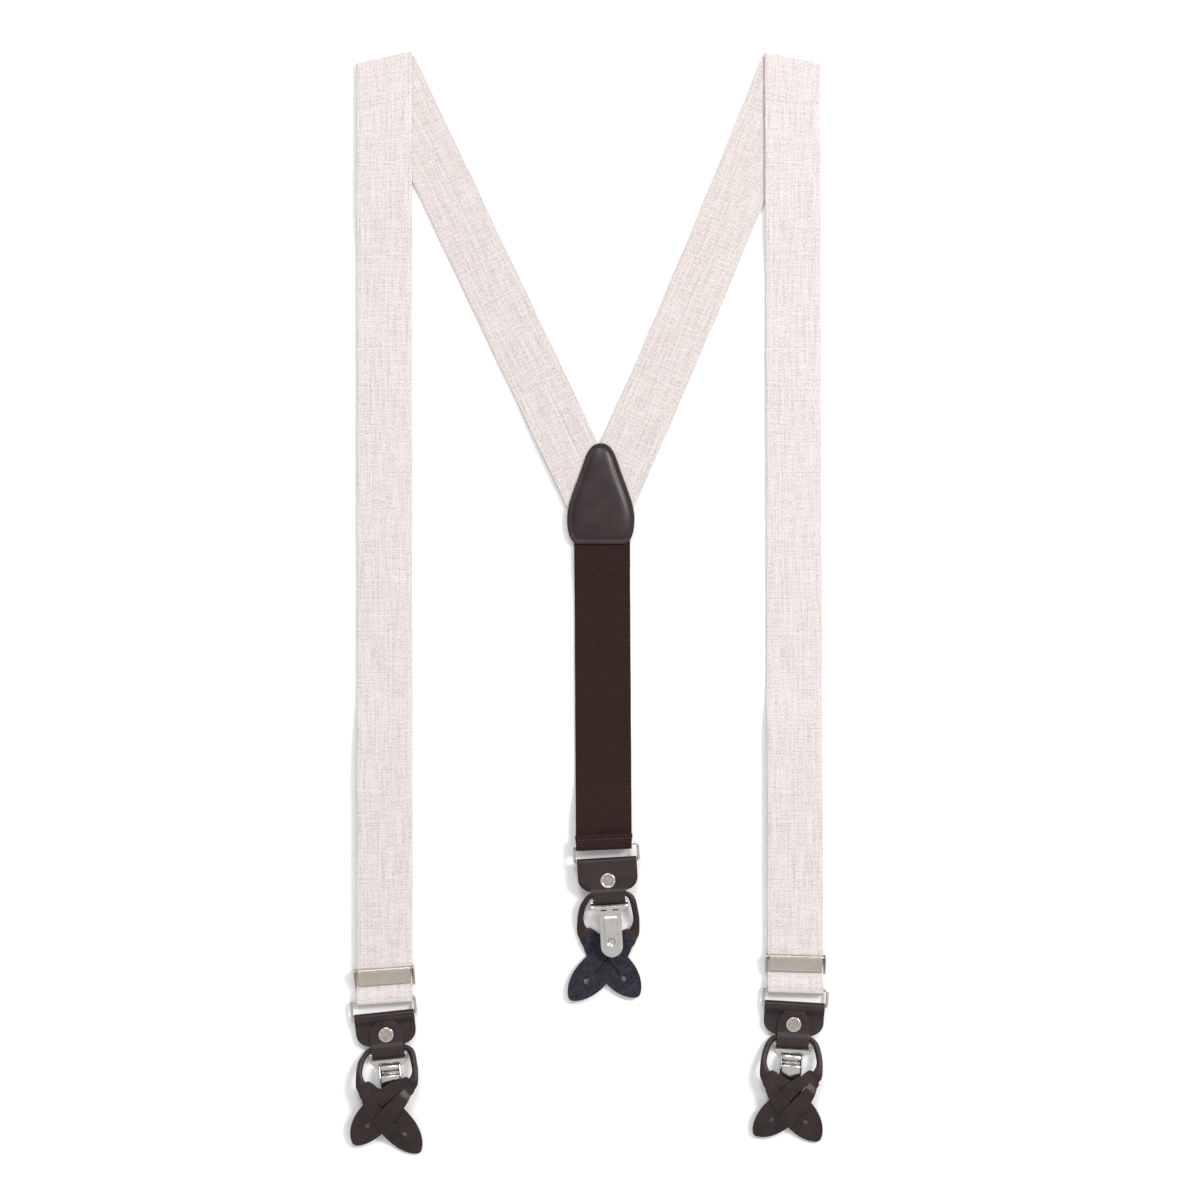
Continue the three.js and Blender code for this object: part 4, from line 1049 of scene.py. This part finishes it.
# %% Clip back plate
SHEET, CLIP_HALF, CLIP_END, SHOULDER = 0.7, 6.8, -48.0, -21.0
PLATE_MIDDLE = 0.5 + SHEET / 2
HEAD_HALF = 11.7


def clip_half(y):
    if y > BAR_Y - 4:
        return HEAD_HALF
    if y > SHOULDER:
        return CLIP_HALF + (HEAD_HALF - CLIP_HALF) * smooth_between(y, SHOULDER - 0.5, BAR_Y - 3.2)
    round_start = CLIP_END + CLIP_HALF
    if y > round_start:
        return CLIP_HALF
    return max(0.35, math.sqrt(max(0, CLIP_HALF**2 - (round_start - y) ** 2)))


def press_plate(point, side):
    x, y, z = point
    channel = smooth_between(-abs(x), -4.7, -3.3) * plateau(y, -43.2, -41.6, -23.6, -22.4)
    z -= 0.5 * channel
    z += 0.8 * (1 - smooth_between(math.hypot(x, y + 38.4), 1.6, 3.1)) * channel
    z += 0.5 * abs(side) ** 5 * smooth_between(-y, -SHOULDER, -SHOULDER + 4)
    return Vector((x, y, z))


def ear(bm, x0, x1):
    """One upright ear between x0 and x1, high enough for both pins."""
    outline = [(-17.8, 0.7), (-18.2, 5.0), (-19.4, 6.3), (-25.0, 7.6), (-26.2, 7.9), (-27.4, 7.6), (-28.1, 6.4),
               (-28.8, 0.7)]
    face = bm.faces.new([bm.verts.new((x0, y, z)) for y, z in outline])
    moved = bmesh.ops.extrude_face_region(bm, geom=[face])["geom"]
    bmesh.ops.translate(bm, vec=(x1 - x0, 0, 0), verts=[g for g in moved if isinstance(g, bmesh.types.BMVert)])


spine = starting((BAR_Y, CORD_HEIGHT), (BAR_Y - 0.6, CORD_HEIGHT), 2)
spine += ease((BAR_Y - 0.6, CORD_HEIGHT), (BAR_Y - 4.4, PLATE_MIDDLE), 8)
spine += line((BAR_Y - 4.4, PLATE_MIDDLE), (CLIP_END + CLIP_HALF, PLATE_MIDDLE), 60)
round_end = [1 - math.sin(math.pi / 2 * i / 12) for i in range(1, 13)]
spine += [Vector((CLIP_END + CLIP_HALF * share, PLATE_MIDDLE)) for share in round_end]
for end in ENDS:
    bm = strip_mesh(spine, lambda p, s: clip_half(p.x), 48, press_plate)
    cut = []
    for face in bm.faces:
        x, y = face.calc_center_median().xy / MM
        if (y > BAR_Y - 4 and abs(x) < 10.4) or (2.0 < abs(x) < 5.6 and abs(y + 18.4) < 0.55):
            cut.append(face)
    bmesh.ops.delete(bm, geom=cut, context="FACES")
    for vert in bm.verts:
        vert.co = PLACE[end] @ (vert.co / MM) * MM
    body = f"{end}_clip"
    plate = new_object(f"{end}_clip_plate", bm, nickel, body, [f"{end}_clip_body"])
    thicken(plate, SHEET - 0.05, 0.2, 3)
    bm = bmesh.new()
    for way in (-1, 1):
        ear(bm, way * 6.05, way * 6.75)
    in_frame(bm, PLACE[end])
    round_edges(new_object(f"{end}_clip_ears", bm, nickel, body, smooth=False), 0.14, 2, 30)
    bar = [(-HEAD_HALF, BAR_Y, CORD_HEIGHT), (HEAD_HALF, BAR_Y, CORD_HEIGHT)]
    wire_piece(f"{end}_clip_bar", bar, 0.7, PLACE[end], nickel, body, (), closed=False)
print("clip plates done")


# %% Polished copies of exact parts
def polished(node, body, metal, rounding=0.12):
    """A merged copy of a CAD part with rounded edges and even shading."""
    bm = bmesh.new()
    bm.from_mesh(frame["nodes"][node].data)
    bmesh.ops.remove_doubles(bm, verts=bm.verts[:], dist=2e-6)
    bmesh.ops.dissolve_limit(bm, angle_limit=math.radians(1.5), verts=bm.verts[:], edges=bm.edges[:])
    piece = new_object(node + "_finished", bm, metal, body, [node])
    round_edges(piece, rounding, 2, 32).harden_normals = True


for end in ENDS:
    for node, body in [("clip_jaw", "jaw"), ("clip_lever", "clip_lever"), ("jaw_pin", "clip"), ("lever_pin", "clip")]:
        polished(f"{end}_{node}", f"{end}_{body}", nickel)
    for node, body in [("pad_lower", "clip"), ("pad_upper", "jaw")]:
        polished(f"{end}_{node}", f"{end}_{body}", pad_plastic, 0.1)
for name in SIDES:
    polished(f"{name}_adjuster_frame", f"{name}_adjuster", nickel_worn)
    polished(f"{name}_adjuster_pin", f"{name}_adjuster", nickel)


# %% [markdown]
# ## Adjuster levers
#
# The lever is a plate rolled round its pin at the top edge. It presses the strap with its lower edge,
# so the plate slopes down like a low roof.

# %% Adjuster levers
def stamp_panel(point, side):
    """Presses a shallow panel into the plate, inside a narrow rim."""
    x, y, z = point
    inside = smooth_between(-abs(x), -15.8, -15.2) * plateau(y, -8.9, -8.4, -2.8, -2.3)
    return Vector((x, y, z - 0.3 * inside))


roll = arc((0, 0), 1.2, -150, 75, 14)
spine = roll + ease(roll[-1], (-2.9, 0.85), 3) + line((-2.9, 0.85), (-8.7, -0.25), 8) + [Vector((-9.2, -0.62))]
for name in SIDES:
    body = f"{name}_adjuster_lever"
    bm = strip_mesh(spine, lambda p, s: 16.5, 44, stamp_panel, at_joint(body))
    thicken(new_object(f"{body}_plate", bm, nickel_worn, body, [body]), 0.62, 0.2, 3)
print("adjusters done")


# %% [markdown]
# ## Floor, light and camera
#
# The suspenders lie on a plain pale sheet. The camera looks straight down from well above, so nothing
# leans outwards, and the soft main light comes from the upper right.

# %% Floor
bm = bmesh.new()
bmesh.ops.create_grid(bm, x_segments=1, y_segments=1, size=6)
bmesh.ops.translate(bm, vec=(0, 0, -0.0002), verts=bm.verts)
paper, tree, shader = material("paper", 0.9, Specular_IOR_Level=0.1)
place = coordinates(tree)
paint(tree, shader, grain(tree, place, 3.0), [(0.3, (0.93, 0.93, 0.93)), (0.7, (0.95, 0.95, 0.95))])
floor = new_object("floor", bm, paper, None)


# %% Light
def area_light(name, place, size, power, colour):
    """A square lamp that faces the middle of the floor."""
    lamp = bpy.data.lights.new(name, "AREA")
    lamp.size, lamp.energy, lamp.color = size, power, colour
    made = bpy.data.objects.new(name, lamp)
    made.location = place
    made.rotation_euler = (-Vector(place)).to_track_quat("-Z", "Y").to_euler()
    bpy.context.scene.collection.objects.link(made)


world = bpy.data.worlds.new("studio")
bpy.context.scene.world = world
world.use_nodes = True
sky = world.node_tree
upward = add(sky, "ShaderNodeSeparateXYZ", {"Vector": coordinates(sky, "Generated")}).outputs["Z"]
glow = ramp(sky, upward, [
    (0.0, (0.45, 0.45, 0.455)), (0.3, (0.5, 0.5, 0.505)), (0.62, (0.8, 0.795, 0.79)), (0.85, (1.0, 0.99, 0.98)),
])
sky.links.new(glow, sky.nodes["Background"].inputs["Color"])
sky.nodes["Background"].inputs["Strength"].default_value = 0.86
area_light("key", (2.0, 1.2, 2.4), 0.9, 74, (1.0, 0.98, 0.96))
area_light("fill", (-0.2, 1.6, 2.2), 0.8, 20, (0.97, 0.98, 1.0))
bpy.context.scene.view_settings.view_transform = "Standard"

# %% Camera
camera = bpy.data.cameras.new("camera")
HEIGHT, SEEN = 2.4, 0.756  # metres above the floor, and metres of floor across the picture
camera.lens = camera.sensor_width / SEEN * HEIGHT
eye = bpy.data.objects.new("camera", camera)
eye.location = (junction.x * MM - 0.0005, junction.y * MM - 0.0547, HEIGHT)
bpy.context.scene.collection.objects.link(eye)
bpy.context.scene.camera = eye
print("camera lens, mm:", round(camera.lens, 1))
